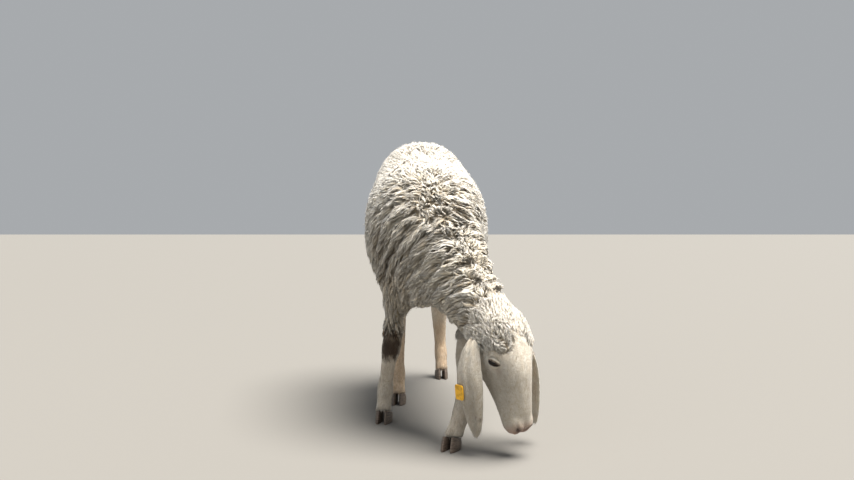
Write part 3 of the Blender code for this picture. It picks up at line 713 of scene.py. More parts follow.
def head_relief(points):
    """How far the head's skin stands out or in: nostrils and mouth cut in with a soft rim round them, the groove
    between the nostrils, and the hollow before the eye."""
    along, up, side = head_axes(points)
    wide = np.abs(side)
    front = ease(0.222, 0.236, along)
    around = np.hypot(wide - NOSTRIL_OUT, up - NOSTRIL_UP)
    out = -0.0085 * nostril(along, up, side) + 0.0016 * bell(around - 0.0095, 0.0035) * front
    out -= 0.0022 * bell(side, 0.0018) * front * ease(-0.012, -0.004, up) * (1 - ease(0.010, 0.016, up))
    out -= 0.0032 * mouth(along, up)
    out += 0.0012 * bell(up + 0.018 + 0.45 * (0.245 - along), 0.005) * ease(MUZZLE, 0.214, along)
    hollow = np.hypot((along - 0.128) / 1.8, (up - 0.012))
    out -= 0.0025 * bell(hollow, 0.012) * ease(0.020, 0.030, wide)
    return out * ease(0.02, 0.05, along)


def ear_surface(rows, box):
    """An ear as a closed leaf: a thin oval carried along its centres, its edges folded back with the square of the
    distance from the middle, with long ridges of gristle on its face."""
    flat = smooth_rows(np.array([(*np.add(row[0], SHIFT), row[1], row[2], *row[3]) for row in rows]), 6)
    around, count = 36, len(flat)
    turn = np.arange(around) * 2 * math.pi / around
    forwards = unit(np.gradient(flat[:, :3], axis=0))
    front = unit(flat[:, 5:8] - dot(flat[:, 5:8], forwards) * forwards)
    side = np.cross(forwards, front)
    across = np.cos(turn)[None, :, None]
    edge = np.sin(turn)[None, :, None]
    half = flat[:, 3, None, None] - 0.0010
    fold = flat[:, 4, None, None]
    thick = edge * EAR_THICKNESS * (0.42 + 0.58 * edge**2) / 2
    ridge = 0.0014 * bell(across - 0.32, 0.15) - 0.0014 * bell(across - 0.02, 0.16) + 0.0010 * bell(across + 0.42, 0.17)
    depth = thick - fold * across**2 + ridge * (half > 0.012)
    rings = flat[:, None, :3] + across * half * side[:, None] + depth * front[:, None]
    points = np.vstack((rings.reshape(-1, 3), flat[:1, :3], flat[-1:, :3]))
    spots = np.vstack((grid_map(count, around, box), [MAP_BOXES[box][:2]] * 2))
    return points, [grid_faces(count, around)[:, ::-1], pole_faces(count, around)[:, ::-1]], spots


def eye_frame(mirror):
    """The eye's centre, the way it looks, the way its lids' slit runs, towards the inner corner, and the way up
    across the slit. Mirror is 1 for the right eye and -1 for the left."""
    place = head_point(EYE_PLACE[0], EYE_PLACE[1], EYE_PLACE[2] * mirror)
    gaze = unit(0.90 * RIGHT * mirror + 0.40 * BROW + 0.10 * NOSE)
    slit = 0.60 * NOSE + 0.80 * unit(BROW - dot(BROW, gaze) * gaze)
    slit = unit(slit - dot(slit, gaze) * gaze)
    return place, gaze, slit, np.cross(gaze, slit) * mirror


def lid_reach(points):
    """How far out each point lies over the nearer eye's slit: 1 at the lids' rim, less inside and more outside."""
    found = []
    for mirror in (1, -1):
        place, gaze, slit, above = eye_frame(mirror)
        away = points - place
        x, y = away @ slit, away @ above
        opening = np.where(y > 0, UPPER_LID, LOWER_LID)
        found.append(np.hypot(x / LID_HALF_LENGTH, y / opening) + 100 * (away @ gaze < 0))
    return np.minimum(*found)


def lid_surface(mirror):
    """Both lids of an eye as one closed ring. Its section runs out over the lid's rim, along the ball, down into
    the skin and back inside. Round the slit it follows an almond: x = a cos t, y = b sin t |sin t|^0.25."""
    place, gaze, slit, above = eye_frame(mirror)
    around = 56
    turn = np.linspace(0, 2 * math.pi, around, endpoint=False)
    opening = np.where(np.sin(turn) > 0, UPPER_LID, LOWER_LID)
    x = LID_HALF_LENGTH * np.cos(turn)
    y = opening * np.sin(turn) * np.abs(np.sin(turn)) ** 0.25
    # Each row of the section: how much wider than the slit, and how far over the ball.
    section = np.array(
        ((1.00, -0.0004), (0.98, 0.0004), (1.00, 0.0014), (1.08, 0.0021), (1.22, 0.0023), (1.36, 0.0017),
         (1.50, 0.0017), (1.68, 0.0016), (1.90, 0.0010), (2.10, 0.0004), (1.90, -0.0030), (1.40, -0.0030))
    )  # fmt: skip
    wider = section[:, 0, None] - 1.0
    x = x + wider * 0.0105 * np.cos(turn)
    y = y + wider * 0.0105 * np.sin(turn)
    reach = EYE_RADIUS + section[:, 1, None]
    deep = np.sqrt(np.maximum(reach**2 - x**2 - y**2, 0.0))
    points = (place + x[..., None] * slit + y[..., None] * above + deep[..., None] * gaze).reshape(-1, 3)
    foot, normal = on_skin(points)
    blend = np.repeat(ease(0.30, 0.95, np.minimum(wider[:, 0], 1.1)), around)[:, None]
    lift = np.repeat(section[:, 1] - 0.0014 * (wider[:, 0] > 1.0), around)[:, None]
    points = points * (1 - blend) + (foot + normal * np.where(lift > 0, 0.0006, lift)) * blend
    column = np.arange(around)
    right = (column + 1) % around
    last = (len(section) - 1) * around
    seam = np.stack((last + column, last + right, right, column), axis=1)
    faces = np.vstack((grid_faces(len(section), around), seam))[:, ::-1]
    return points, [faces], grid_map(len(section), around, "lids")


def on_skin(points):
    """The nearest places on the body's form and its smooth normals there, from two shrink-wrapped clouds."""
    mesh = bpy.data.meshes.new("probe")
    mesh.vertices.add(len(points))
    place_points(mesh, points)
    found = []
    for mode, lift in (("ON_SURFACE", 0.0), ("ABOVE_SURFACE", 0.01)):
        probe = bpy.data.objects.new("probe", mesh)
        bpy.context.scene.collection.objects.link(probe)
        wrap = probe.modifiers.new("wrap", "SHRINKWRAP")
        wrap.target = bpy.data.objects["body_form"]
        wrap.wrap_method = "NEAREST_SURFACEPOINT"
        wrap.wrap_mode = mode
        wrap.offset = lift
        bpy.context.view_layer.update()
        evaluated = probe.evaluated_get(bpy.context.evaluated_depsgraph_get())
        found.append(points_of(evaluated.data))
        bpy.data.objects.remove(probe)
    bpy.data.meshes.remove(mesh)
    return found[0], unit(found[1] - found[0])


def unwrap(mesh):
    """Bake coordinates for every corner. Each face belongs to its nearest rod, and each rod has its own box of the
    map: across it the angle round the rod, and up it the way along the rod and round its ends."""
    corners = points_of(mesh)[read(mesh.loops, "vertex_index", 1, np.int32)]
    owner = np.repeat(np.arange(len(mesh.polygons)), read(mesh.polygons, "loop_total", 1, np.int32))
    count = len(mesh.polygons)
    middle = np.stack([np.bincount(owner, corners[:, axis], count) for axis in range(3)], axis=1)
    middle /= np.bincount(owner, minlength=count)[:, None]
    rod = np.argmin(rod_gaps(middle), axis=1)[owner]
    level = unit(np.cross(ALONG, (0.31, 0.17, 0.94)))
    other = np.cross(ALONG, level)

    def turned(places):
        away = places - START[rod]
        along = np.clip(np.sum(away * ALONG[rod], axis=1), 0, LONG[rod])
        away = away - along[:, None] * ALONG[rod]
        past = np.sum(away * ALONG[rod], axis=1)
        flat = away - past[:, None] * ALONG[rod]
        angle = np.arctan2(np.sum(flat * other[rod], axis=1), np.sum(flat * level[rod], axis=1))
        return angle, along + THICK[rod] * np.arctan2(past, np.linalg.norm(flat, axis=1))

    centre_angle, _ = turned(middle[owner])
    angle, travel = turned(corners)
    angle = centre_angle + (angle - centre_angle + math.pi) % (2 * math.pi) - math.pi
    span = LONG + math.pi * THICK
    across = np.clip(0.5 + angle / (2 * math.pi) * 0.94, 0, 1)
    upwards = (travel + THICK[rod] * math.pi / 2) / span[rod]
    box = np.array([MAP_BOXES[name] for name in ROD_NAMES])[rod]
    return np.stack((box[:, 0] + across * box[:, 2], box[:, 1] + upwards * box[:, 3]), axis=1)


def grid_map(rows, columns, box):
    """Bake coordinates of a grid that closes on itself: a margin keeps its seam inside the box."""
    left, bottom, width, height = MAP_BOXES[box]
    row, column = np.meshgrid(np.arange(rows), np.arange(columns), indexing="ij")
    across = np.minimum(column, columns - column) / (columns / 2)
    return np.stack((left + across * width, bottom + row / rows * height), axis=-1).reshape(-1, 2)


def flow_vectors(points, normals):
    """Coordinates for streaks of hair: the place in metres, squeezed seven times along the way the hair lies."""
    way = unit(lie(points, normals))
    return points - way * dot(points, way) * 0.86


def draw_in(mesh):
    """Draws the shell in by the coat's depth, a fifth at a time and relaxed between, and returns its points."""
    edges = read(mesh.edges, "vertices", 2, np.int32)
    points = relaxed(points_of(mesh), edges, 3)
    depth = coat_depth(points)
    for _ in range(5):
        place_points(mesh, points)
        points = points - normals_of(mesh) * depth[:, None] / 5
        soft = relaxed(points, edges, 2)
        points = points + (soft - points) * ease(0.001, 0.008, depth)[:, None]
    place_points(mesh, points)
    return points


def make_skin(sizes, colours):
    """One skin for all the flesh: the melted shell, drawn in by the coat's depth and given the head's forms, with
    the ears and the lids. The shell stays as the form that hair and wool are set on."""
    mesh = flesh_shell(sizes.skin_grain)
    smooth = draw_in(mesh)
    relief = head_relief(smooth) * ease(0.5, 0.8, head_share(smooth))
    points = smooth + normals_of(mesh) * relief[:, None]
    place_points(mesh, points)
    form = bpy.data.objects.new("body_form", mesh)
    bpy.context.scene.collection.objects.link(form)
    form.hide_render = True

    corners = [face_corners(mesh, size) for size in (4, 3)]
    vertex = read(mesh.loops, "vertex_index", 1, np.int32)
    kinds = [np.full(len(points), BODY)]
    groups, faces = [points], [vertex[numbers] for numbers in corners]
    patches = [unwrap(mesh)[np.concatenate([numbers.ravel() for numbers in corners])]]
    parts = [(EAR, ear_surface(rows, f"ear_{side}")) for side, rows in EARS.items()]
    parts += [(LID, lid_surface(mirror)) for mirror in (1, -1)]
    for kind, (part_points, part_faces, spots) in parts:
        start = sum(len(group) for group in groups)
        faces += [group + start for group in part_faces]
        patches += [spots[group.ravel()] for group in part_faces]
        groups.append(part_points)
        kinds.append(np.full(len(part_points), kind))

    points, kind = np.vstack(groups), np.concatenate(kinds)
    colour = coat_colour(np.vstack([smooth] + groups[1:]), colours)
    woolly = (wool(points) * (kind == BODY))[:, None]
    colour = colour * (1 - woolly) + np.array(colours.under_wool) * woolly
    on_lid = (kind == LID)[:, None]
    rim = 1 - ease(1.06, 1.24, lid_reach(points))[:, None] * on_lid
    colour = np.where(on_lid, colour * (1 - rim) + np.array(colours.rim) * rim, colour)
    layers = {"Tint": colour, "Kind": kind}
    skin = mesh_object("skin", points, faces, look(short_hair_on_hide), np.concatenate(patches), **layers)
    add_layer(skin.data, "Strand", flow_vectors(points, normals_of(skin.data)))
    finish(skin, "short_hair", *FLESH, "ear_right", "ear_left")


# ---------------------------------------------------------------------------------------------------------- coat

LOCK_STEPS = 5  # parts in the centre line of a lock of the fleece
LOCK_LEAN = 0.35  # how flat a lock starts: 0 straight out of the skin, 1 along it
CURL_STEPS = 6  # parts in the centre line of a curl of the crown or the ears' roots
TINT_STEP = 4  # the point of a centre line whose place gives the whole lock its tint


def scatter(spacing, share, seed, wanted=(BODY,)):
    """Roots over the wanted kinds of skin. Many tries are spread by area, the first in each cell of a grid is kept,
    and of these the share that grows there. Returns places, normals and bake coordinates."""
    rng = np.random.default_rng(seed)
    mesh = bpy.data.objects["skin"].data
    points, normals = points_of(mesh), normals_of(mesh)
    mesh.calc_loop_triangles()
    corners = read(mesh.loop_triangles, "vertices", 3, np.int32)
    loops = read(mesh.loop_triangles, "loops", 3, np.int32)
    patches = read(mesh.uv_layers["OFBake"].data, "uv", 2)
    kinds = read(mesh.attributes["Kind"].data, "value", 1)
    area = read(mesh.loop_triangles, "area", 1).astype(float)
    chance = area * np.isin(kinds[corners[:, 0]], wanted) * (share(points[corners].mean(axis=1)) > 0.02)
    count = int(chance.sum() / spacing**2 * 6)
    pick = np.searchsorted(np.cumsum(chance), rng.random(count) * chance.sum())
    pick = np.minimum(pick, len(corners) - 1)
    weight = rng.dirichlet((1, 1, 1), count)[..., None]
    root = (points[corners[pick]] * weight).sum(axis=1)
    cells = np.floor(root / spacing).astype(np.int64)
    _, kept = np.unique(cells @ (73856093, 19349663, 83492791), return_index=True)  # primes give each cell a number
    kept.sort()
    kept = kept[rng.random(len(kept)) < share(root[kept])]
    normal = unit((normals[corners[pick[kept]]] * weight[kept]).sum(axis=1))
    return root[kept], normal, (patches[loops[pick[kept]]] * weight[kept]).sum(axis=1)


def grow(roots, normals, length, depth, steps, lean):
    """Centre lines of locks from just under the skin. Each step goes on by a share of the length, first outwards
    and then with the lie of the coat, and is set to the height 1 - (1 - s)^2.2 of the coat's depth over the skin
    below it. Where the coat has no clear way to lie, locks are shorter and stand up."""
    here, normal = roots - normals * 0.0012, normals
    lines, ups = [here], [normal]
    sure = ease(0.0, 0.75, np.linalg.norm(lie(here, normal), axis=1))
    length = length * (0.45 + 0.55 * sure)
    for step in range(1, steps + 1):
        s = step / steps
        flat = (lean + (1 - lean) * ease(0.0, 0.45, s)) * (0.35 + 0.65 * sure)[:, None]
        way = unit(unit(lie(here, normal)) * flat + normal * (1 - flat))
        foot, normal = on_skin(here + way * (length / steps)[:, None])
        here = foot + normal * (depth * (1 - (1 - s) ** 2.2))[:, None]
        lines.append(here)
        ups.append(normal)
    return np.stack(lines, axis=1), np.stack(ups, axis=1)


def lengths(lines):
    """How long each line is."""
    return np.linalg.norm(np.diff(lines, axis=1), axis=-1).sum(axis=1)


def nearest(places, targets):
    """The index of the nearest target to each place, by comparing a block of places with all targets at once."""
    found = [
        np.argmin(np.sum(targets**2, axis=1) - 2 * block @ targets.T, axis=1)
        for block in np.array_split(places, max(1, len(places) // 2000))
    ]
    return np.concatenate(found)


def draw_together(lines, roots, guide_lines, guide_roots, pull):
    """Locks drawn towards the staple that grows nearest to them, more towards their tips."""
    owner = nearest(roots, guide_roots)
    steps = lines.shape[1]
    share = pull[:, None, None] * ease(0.15, 1.0, np.arange(steps) / (steps - 1))[None, :, None]
    offset = (roots - guide_roots[owner])[:, None, :] * 0.35
    return lines * (1 - share) + (guide_lines[owner] + offset) * share, owner


def kept_close(lines, depth):
    """Locks with no point further from the skin than the coat is deep, so that no tip hangs in the air."""
    foot, _ = on_skin(lines.reshape(-1, 3))
    away = lines - foot.reshape(lines.shape)
    limit = (1.08 * depth[:, None] + 0.0006) / np.maximum(np.linalg.norm(away, axis=-1), 1e-6)
    return foot.reshape(lines.shape) + away * np.minimum(limit, 1.0)[..., None]


def curl(lines, ups, wave, size, seed):
    """Crimp: the line swings to the side by sin and up by cos of the length travelled over the wave, its size
    growing from the root."""
    rng = np.random.default_rng(seed)
    side = unit(np.cross(unit(np.gradient(lines, axis=1)), ups))
    travel = np.cumsum(np.linalg.norm(np.diff(lines, axis=1, prepend=lines[:, :1]), axis=-1), axis=1)
    wave = np.broadcast_to(wave, len(lines))[:, None] * rng.uniform(0.8, 1.25, (len(lines), 1))
    phase = travel * 2 * math.pi / wave + rng.uniform(0, 6.28, (len(lines), 1))
    swing = np.broadcast_to(size, len(lines))[:, None] * ease(0.0, 0.5, np.linspace(0, 1, lines.shape[1]))
    return lines + side * (np.sin(phase) * swing)[..., None] + ups * (np.cos(phase) * swing * 0.45)[..., None]


def lock_piece(name, slot, maker, lines, ups, width, patches, tint, flatness, around, tip):
    """A piece of locks, each a closed tapering body. Round its centre line run rings of points: an oval, flatter
    by the flatness, turned a little further at every step. The width goes as 1 - s^tip, and the tip is one point.
    Each point also carries the lock's tint, how far along the lock it is, the way out of the body under it, and
    its place in a bundle of fibres drawn out eight times along the lock."""
    count, steps, _ = lines.shape
    rings = steps - 1
    s = np.arange(rings) / rings
    turn = np.arange(around) * 2 * math.pi / around
    rng = np.random.default_rng(0)
    forwards = unit(np.gradient(lines, axis=1))
    side = unit(np.cross(forwards, ups))
    up = np.cross(side, forwards)
    twist = rng.uniform(0, 6.28, (count, 1)) + rng.uniform(-1.5, 1.5, (count, 1)) * s
    angle = turn + twist[:, :, None]
    wide = width[:, None, None] * ((0.62 + 0.38 * ease(0, 0.35, s)) * (1 - s**tip))[None, :, None]
    local_x = np.cos(angle) * 0.5 * wide
    local_y = np.sin(angle) * 0.5 * flatness * wide
    body = lines[:, :rings, None] + local_x[..., None] * side[:, :rings, None]
    body = body + local_y[..., None] * up[:, :rings, None]
    points = np.concatenate((body.reshape(count, -1, 3), lines[:, -1:]), axis=1)

    long = lengths(lines)
    travel = np.broadcast_to(s[None, :, None] * long[:, None, None] * 0.12, local_x.shape)
    strand = np.stack((local_x, local_y, travel), axis=-1).reshape(count, -1, 3)
    end = np.stack((0 * long, 0 * long, long * 0.12), axis=-1)[:, None]
    strand = np.concatenate((strand, end), axis=1) + rng.uniform(0, 1.0, (count, 1, 3))
    along = np.append(np.repeat(s, around), 1.0)
    spot = np.append(np.tile(turn / (2 * math.pi), rings), 0.5)
    patch = patches[:, None] + PATCH * (np.stack((spot, along), axis=-1) - 0.5)[None]
    wards = np.concatenate((np.repeat(ups[:, :rings], around, axis=1), ups[:, -1:]), axis=1)

    size = rings * around + 1
    column = np.arange(around)
    last = (rings - 1) * around
    ends = np.stack((last + column, last + (column + 1) % around, np.full(around, rings * around)), axis=1)
    start = (np.arange(count) * size)[:, None, None]
    faces = [(group + start)[..., ::-1].reshape(-1, group.shape[1]) for group in (grid_faces(rings, around), ends)]
    faces.append(column + start[:, 0])
    corners = np.concatenate([group.ravel() for group in faces])
    layers = {
        "Tint": np.repeat(tint, size, axis=0),
        "Along": np.tile(along, count),
        "Ward": wards.reshape(-1, 3),
        "Strand": strand.reshape(-1, 3),
    }
    made = mesh_object(name, points.reshape(-1, 3), faces, look(maker), patch.reshape(-1, 2)[corners], **layers)
    finish(made, slot)


def crown_share(places):
    """1 where the crown's curls grow instead of the fleece."""
    return ease(0.35, 0.65, head_share(places))


def off_crown(places):
    """1 where the fleece grows, which stops at the crown."""
    return (wool(places) > 0.35) * (1 - crown_share(places))


def folds(places):
    """1 in the valleys that run across the neck and onto the shoulders, 36 mm apart and wandering."""
    share = named_shares(places)
    near = np.clip(share["neck"] + share["trunk"] * (1 - ease(-0.26, -0.16, places[:, 1] - SHIFT[1])), 0, 1)
    wave = np.cos((places @ ALONG[NECK]) * 2 * math.pi / 0.036 + 2.4 * ripple(places, 0.11, 9))
    return near * (0.5 + 0.5 * wave) ** 1.6


def unsure(places):
    """1 where the coat has no clear way to lie, along the crests of neck and back, and stands up instead."""
    return 1 - ease(0.15, 0.75, np.linalg.norm(lie(places, on_skin(places)[1]), axis=1))


def fleece_reach(places, sizes):
    """The fleece's depth, lower in the folds across the neck and at the right elbow, and how far its locks trail
    along the skin: far where they hang, and not half as far on back and rump."""
    soft = softness(places)
    depth = coat_depth(places) * (1 - 0.7 * bell(distance(places, RIGHT_ELBOW), 0.050))
    high = 1 - 0.68 * folds(places) - mix(0.25, 0.12, soft) * (0.5 + 0.5 * ripple(places, 0.026, 31))
    return depth * high, mix(sizes.lock_length, 0.45 * sizes.lock_length, soft) * ease(-0.006, 0.024, depth)


def make_staples(sizes):
    """Roots and centre lines of the staples that locks are drawn to, nearer to each other where wool is short."""
    long = scatter(sizes.staple_spacing, lambda places: off_crown(places) * (1 - softness(places)), 22)
    short = scatter(sizes.staple_spacing * 0.55, lambda places: off_crown(places) * softness(places), 26)
    roots, normals = (np.vstack(pair) for pair in zip(long[:2], short[:2]))
    depth, length = fleece_reach(roots, sizes)
    return roots, grow(roots, normals, length, depth, LOCK_STEPS, LOCK_LEAN)[0]


def make_fleece(sizes, colours):
    """The fleece over trunk, neck, tail and leg tops: crimped locks, long and hanging on neck, shoulders and flanks and
    short on the back, more and narrower ones along the crests, and thin strands over them all. Each joins the tone of
    its staple, with a little of its own, and has painted shade in the folds."""
    sparse = 1.0
    spacing = sizes.lock_spacing * sparse
    main = scatter(spacing, off_crown, 21)
    crest = scatter(spacing * 0.74, lambda places: off_crown(places) * unsure(places), 28)
    roots, normals, patches = (np.vstack(pair) for pair in zip(main, crest))
    on_crest = np.arange(len(roots)) >= len(main[0])
    staple_roots, staple_lines = make_staples(sizes)
    rng = np.random.default_rng(23)
    depth, length = fleece_reach(roots, sizes)
    depth = depth * rng.uniform(0.86, 1.0, len(roots))
    length = length * rng.uniform(0.8, 1.15, len(roots))
    lines, ups = grow(roots, normals, length, depth, LOCK_STEPS, LOCK_LEAN)
    soft = softness(roots)
    pull = sizes.staple_pull * mix(1.0, 0.45, soft)
    lines, owner = draw_together(lines, roots, staple_lines, staple_roots, pull)
    lines = curl(kept_close(lines, depth), ups, mix(0.034, 0.020, soft), mix(0.0020, 0.0006, soft), 24)
    width = mix(1.0, 0.70, soft) * sizes.lock_width * rng.uniform(0.7, 1.25, len(roots))
    width = width * ease(-0.012, 0.020, coat_depth(roots)) * np.where(on_crest, 0.62, 1.0)
    width = np.minimum(width, 0.42 * lengths(lines))
    staple_tone = rng.uniform(0.86, 1.04, len(staple_roots))
    staple_warmth = rng.uniform(-0.03, 0.03, (len(staple_roots), 1)) * np.array((0.6, 0.0, -1.2))

    def tinted(places, owner, seed):
        own = np.random.default_rng(seed).uniform(0.94, 1.05, len(places))
        # Painted shade: locks in the folds across the neck are made up to half as dark.
        tone = mix(staple_tone[owner], 1.0, 0.5 * softness(places)) * own * (1 - 0.50 * folds(places))
        return coat_colour(places, colours) * tone[:, None] * (1 + staple_warmth[owner])

    tint = tinted(lines[:, TINT_STEP], owner, 32)
    regional_pieces("fleece", roots, lines, ups, width, patches, tint, flatness=0.55, around=4, tip=1.3)

    roots, normals, patches = scatter(sizes.strand_spacing * sparse, off_crown, 27)
    depth, length = fleece_reach(roots, sizes)
    depth = depth * rng.uniform(0.90, 1.10, len(roots))
    length = length * rng.uniform(0.6, 1.2, len(roots))
    lines, ups = grow(roots, normals, length, depth, LOCK_STEPS, LOCK_LEAN)
    pull = sizes.staple_pull * rng.uniform(0.2, 1.1, len(roots))
    lines, owner = draw_together(lines, roots, staple_lines, staple_roots, pull)
    lines = curl(kept_close(lines, depth), ups, 0.026, rng.uniform(0.001, 0.003, len(roots)), 29)
    width = sizes.strand_width * rng.uniform(0.6, 1.3, len(roots))
    tint = tinted(lines[:, TINT_STEP], owner, 33) * rng.uniform(0.97, 1.06, (len(roots), 1))
    regional_pieces("strands", roots, lines, ups, width, patches, tint, flatness=0.8, around=3, tip=2.2)


def fleece_regions(places):
    """The region of the fleece that each root belongs to."""
    names = np.array(ROD_NAMES)[np.argmin(rod_gaps(places), axis=1)]
    ward = np.where(places[:, 0] > SHIFT[0] - 0.005, "left", "right")
    third = np.select([places[:, 1] < SHIFT[1] - 0.06, places[:, 1] < SHIFT[1] + 0.14], ["shoulder", "flank"], "rump")
    trunk = np.char.add(np.char.add(third, "_"), ward)
    to_left = (places - START[NECK]) @ np.cross(ALONG[NECK], CREST[NECK]) > 0
    return np.select(
        [names == "trunk", (names == "neck") | (names == "head"), names == "tail"],
        [trunk, np.where(to_left, "neck_left", "neck_right"), np.full(len(places), "tail")],
        np.char.add("leg_tops_", ward),
    )


def regional_pieces(stem, roots, lines, ups, width, patches, tint, **shape):
    """A piece of wool for each region that has roots in it, so that each stays small."""
    region = fleece_regions(roots)
    for name in sorted(set(region)):
        chosen = region == name
        parts = (part[chosen] for part in (lines, ups, width, patches, tint))
        lock_piece(f"{stem}_{name}", "fleece", raw_crimped_wool, *parts, **shape)


def curly(places):
    """1 where the crown's tufts and curls grow."""
    return crown_share(places) * ease(0.05, 0.35, crown(places))


def make_crown(colours):
    """The crown and the pad over each eye: short soft tufts, flat and wide, under fine curls. Both are shorter and
    lower round the edges."""
    # Name, spacing, width, length, swing of the curl, flatness, tip, points round, seed.
    layers = (
        ("crown_tufts", 0.0054, 0.0062, 0.014, 0.0006, 0.45, 1.3, 4, 41),
        ("crown_curls", 0.0036, 0.0017, 0.012, 0.0013, 0.80, 2.2, 3, 45),
    )
    for name, spacing, wide, long, swing, flatness, tip, around, seed in layers:
        roots, normals, patches = scatter(spacing, curly, seed)
        rng = np.random.default_rng(seed)
        full = ease(0.1, 0.9, crown(roots))
        depth = np.clip(coat_depth(roots), 0.0018, 0.0085) * mix(1.0, 1.4, full) * rng.uniform(0.7, 1.05, len(roots))
        length = long * mix(0.5, 1.0, full) * rng.uniform(0.75, 1.2, len(roots))
        lines, ups = grow(roots, normals, length, depth, CURL_STEPS, 0.30)
        lines = curl(lines, ups, 0.011, mix(0.4, 1.0, full) * swing, seed + 1)
        tint = coat_colour(lines[:, TINT_STEP], colours) * rng.uniform(0.94, 1.04, (len(roots), 1))
        width = mix(0.6, 1.0, full) * wide * rng.uniform(0.8, 1.2, len(roots))
        lock_piece(name, "fleece", raw_crimped_wool, lines, ups, width, patches, tint, flatness, around, tip)


def make_crease_shade_flakes(colours):
    """A broken row of thin dark flakes that lie on the coat by the right withers: painted shade of a crease in the
    fleece.
    """
    row = np.array(((-0.0870, -0.2086, 0.5961), (-0.0659, -0.1905, 0.6168), (-0.0425, -0.1460, 0.6377))) + SHIFT
    rng = np.random.default_rng(81)
    share = np.sort(rng.uniform(0, 2, 22))
    spot = np.stack([np.interp(share, (0, 1, 2), row[:, axis]) for axis in range(3)], axis=1)
    foot, normal = on_skin(spot + rng.normal(0, 0.0022, spot.shape))
    top = foot + normal * (coat_depth(foot) * 1.05 + 0.007)[:, None]
    way = unit(np.gradient(spot, axis=0) + rng.normal(0, 0.008, spot.shape))
    way = unit(way - dot(way, normal) * normal)
    steps = np.linspace(-0.5, 0.5, 5)
    lines = top[:, None] + way[:, None] * (steps * rng.uniform(0.006, 0.013, (len(spot), 1)))[..., None]
    ups = np.repeat(normal[:, None], len(steps), axis=1)
    width = rng.uniform(0.0032, 0.0056, len(spot))
    mesh = bpy.data.objects["skin"].data
    patches = np.tile(read(mesh.uv_layers["OFBake"].data, "uv", 2)[0], (len(spot), 1))
    # The knee's mud colour paints the flakes dark, as the shade of the crease.
    tint = np.tile(np.array(colours.knee), (len(spot), 1))
    lock_piece("crease_shade_flakes", "fleece", short_hair_on_hide, lines, ups, width, patches, tint, 0.4, 4, 2.0)


def by_ear_root(places):
    """1 where an ear leaves the head."""
    gaps = [distance(places, np.array(rows[2][0]) + SHIFT) for rows in EARS.values()]
    return (1 - ease(0.016, 0.030, np.minimum(*gaps))) * (head_axes(places)[1] > -0.03)


def make_ear_tufts(colours):
    """A loose tuft of curls that stands out where each ear leaves the head."""
    roots, normals, patches = scatter(0.0046, by_ear_root, 51)
    rng = np.random.default_rng(52)
    depth = rng.uniform(0.008, 0.017, len(roots))
    lines, ups = grow(roots, normals, rng.uniform(0.010, 0.020, len(roots)), depth, CURL_STEPS, 0.2)
    lines = curl(lines, ups, 0.012, 0.0018, 53)
    tint = coat_colour(lines[:, TINT_STEP], colours) * rng.uniform(0.96, 1.05, (len(roots), 1))
    width = rng.uniform(0.0022, 0.0045, len(roots))
    lock_piece("ear_tufts", "fleece", raw_crimped_wool, lines, ups, width, patches, tint, 0.7, 4, 1.6)


def hair_size(places):
    """How long the face's hair is beside its usual length: shorter to the muzzle, round the eyes, and none on the
    bare skin of lips and nostrils."""
    along, up, side = head_axes(places)
    bare = ease(0.232, 0.222, along - 0.25 * np.maximum(-up - 0.005, 0))
    return mix(1.0, 0.5, ease(0.10, 0.22, along)) * bare * ease(1.0, 2.0, lid_reach(places))


def on_face(places):
    """1 where the face's short hair grows."""
    return (1 - wool(places)) * head_share(places) * (hair_size(places) > 0.08)


def on_legs(places):
    """1 where the legs' short hair grows."""
    return (wool(places) < 0.85) * (1 - head_share(places))


def in_front(places):
    """1 on the forelegs, and on the right hind leg, which steps under the belly; 0 on the left hind leg."""
    return ease(-0.10, -0.08, SHIFT[1] - places[:, 1])


def make_short_hair(colours):
    """Small flat tufts of short hair over the face, ears and lower legs, where they break up the smooth form. The
    ears' hair hangs, and the hair of the fetlocks is longer."""
    # Name, kinds of skin, spacing, length, width, and where it grows.
    zones = (
        ("hair_face", (BODY, LID), 0.0031, 0.0072, 0.0013, on_face),
        ("hair_forelegs", (BODY,), 0.0049, 0.0110, 0.0018, lambda places: on_legs(places) * in_front(places)),
        ("hair_hind_legs", (BODY,), 0.0042, 0.0110, 0.0018, lambda places: on_legs(places) * (1 - in_front(places))),
        ("hair_ears", (EAR,), 0.0034, 0.0070, 0.0013, lambda places: np.ones(len(places))),
    )
    steps = np.array((0.0, 0.35, 0.7, 1.0))
    for seed, (name, kinds, spacing, long, wide, share) in enumerate(zones, 61):
        roots, normals, patches = scatter(spacing, share, seed, kinds)
        rng = np.random.default_rng(seed)
        hanging = np.cross(np.cross(normals, (0, 0, -1.0)), normals)
        way = unit(hanging if EAR in kinds else lie(roots, normals))
        size = hair_size(roots) if LID in kinds else np.ones(len(roots))
        feather = 1 + 0.7 * bell(roots[:, 2] - 0.062, 0.024) * (kinds == (BODY,))
        length = long * rng.uniform(0.7, 1.25, len(roots)) * np.maximum(size, 0.2) * feather
        lift = 0.0009 * rng.uniform(0.4, 1.1, len(roots)) * np.maximum(size, 0.4)
        side = np.cross(normals, way) * rng.normal(0, 0.14, (len(roots), 1))
        travel = (way + side)[:, None] * (steps[None, :] * length[:, None])[..., None]
        rise = (np.sin(steps * math.pi * 0.66)[None] * lift[:, None] - 0.0003)[..., None]
        lines = roots[:, None] + travel + normals[:, None] * rise
        ups = np.repeat(normals[:, None], len(steps), axis=1)
        tint = coat_colour(roots, colours) * rng.uniform(0.93, 1.06, (len(roots), 1))
        width = wide * rng.uniform(0.7, 1.2, len(roots))
        lock_piece(name, "short_hair", short_hair_on_hide, lines, ups, width, patches, tint, 0.4, 3, 1.6)


# ----------------------------------------------------------------------------------------- eyes, hooves and tag

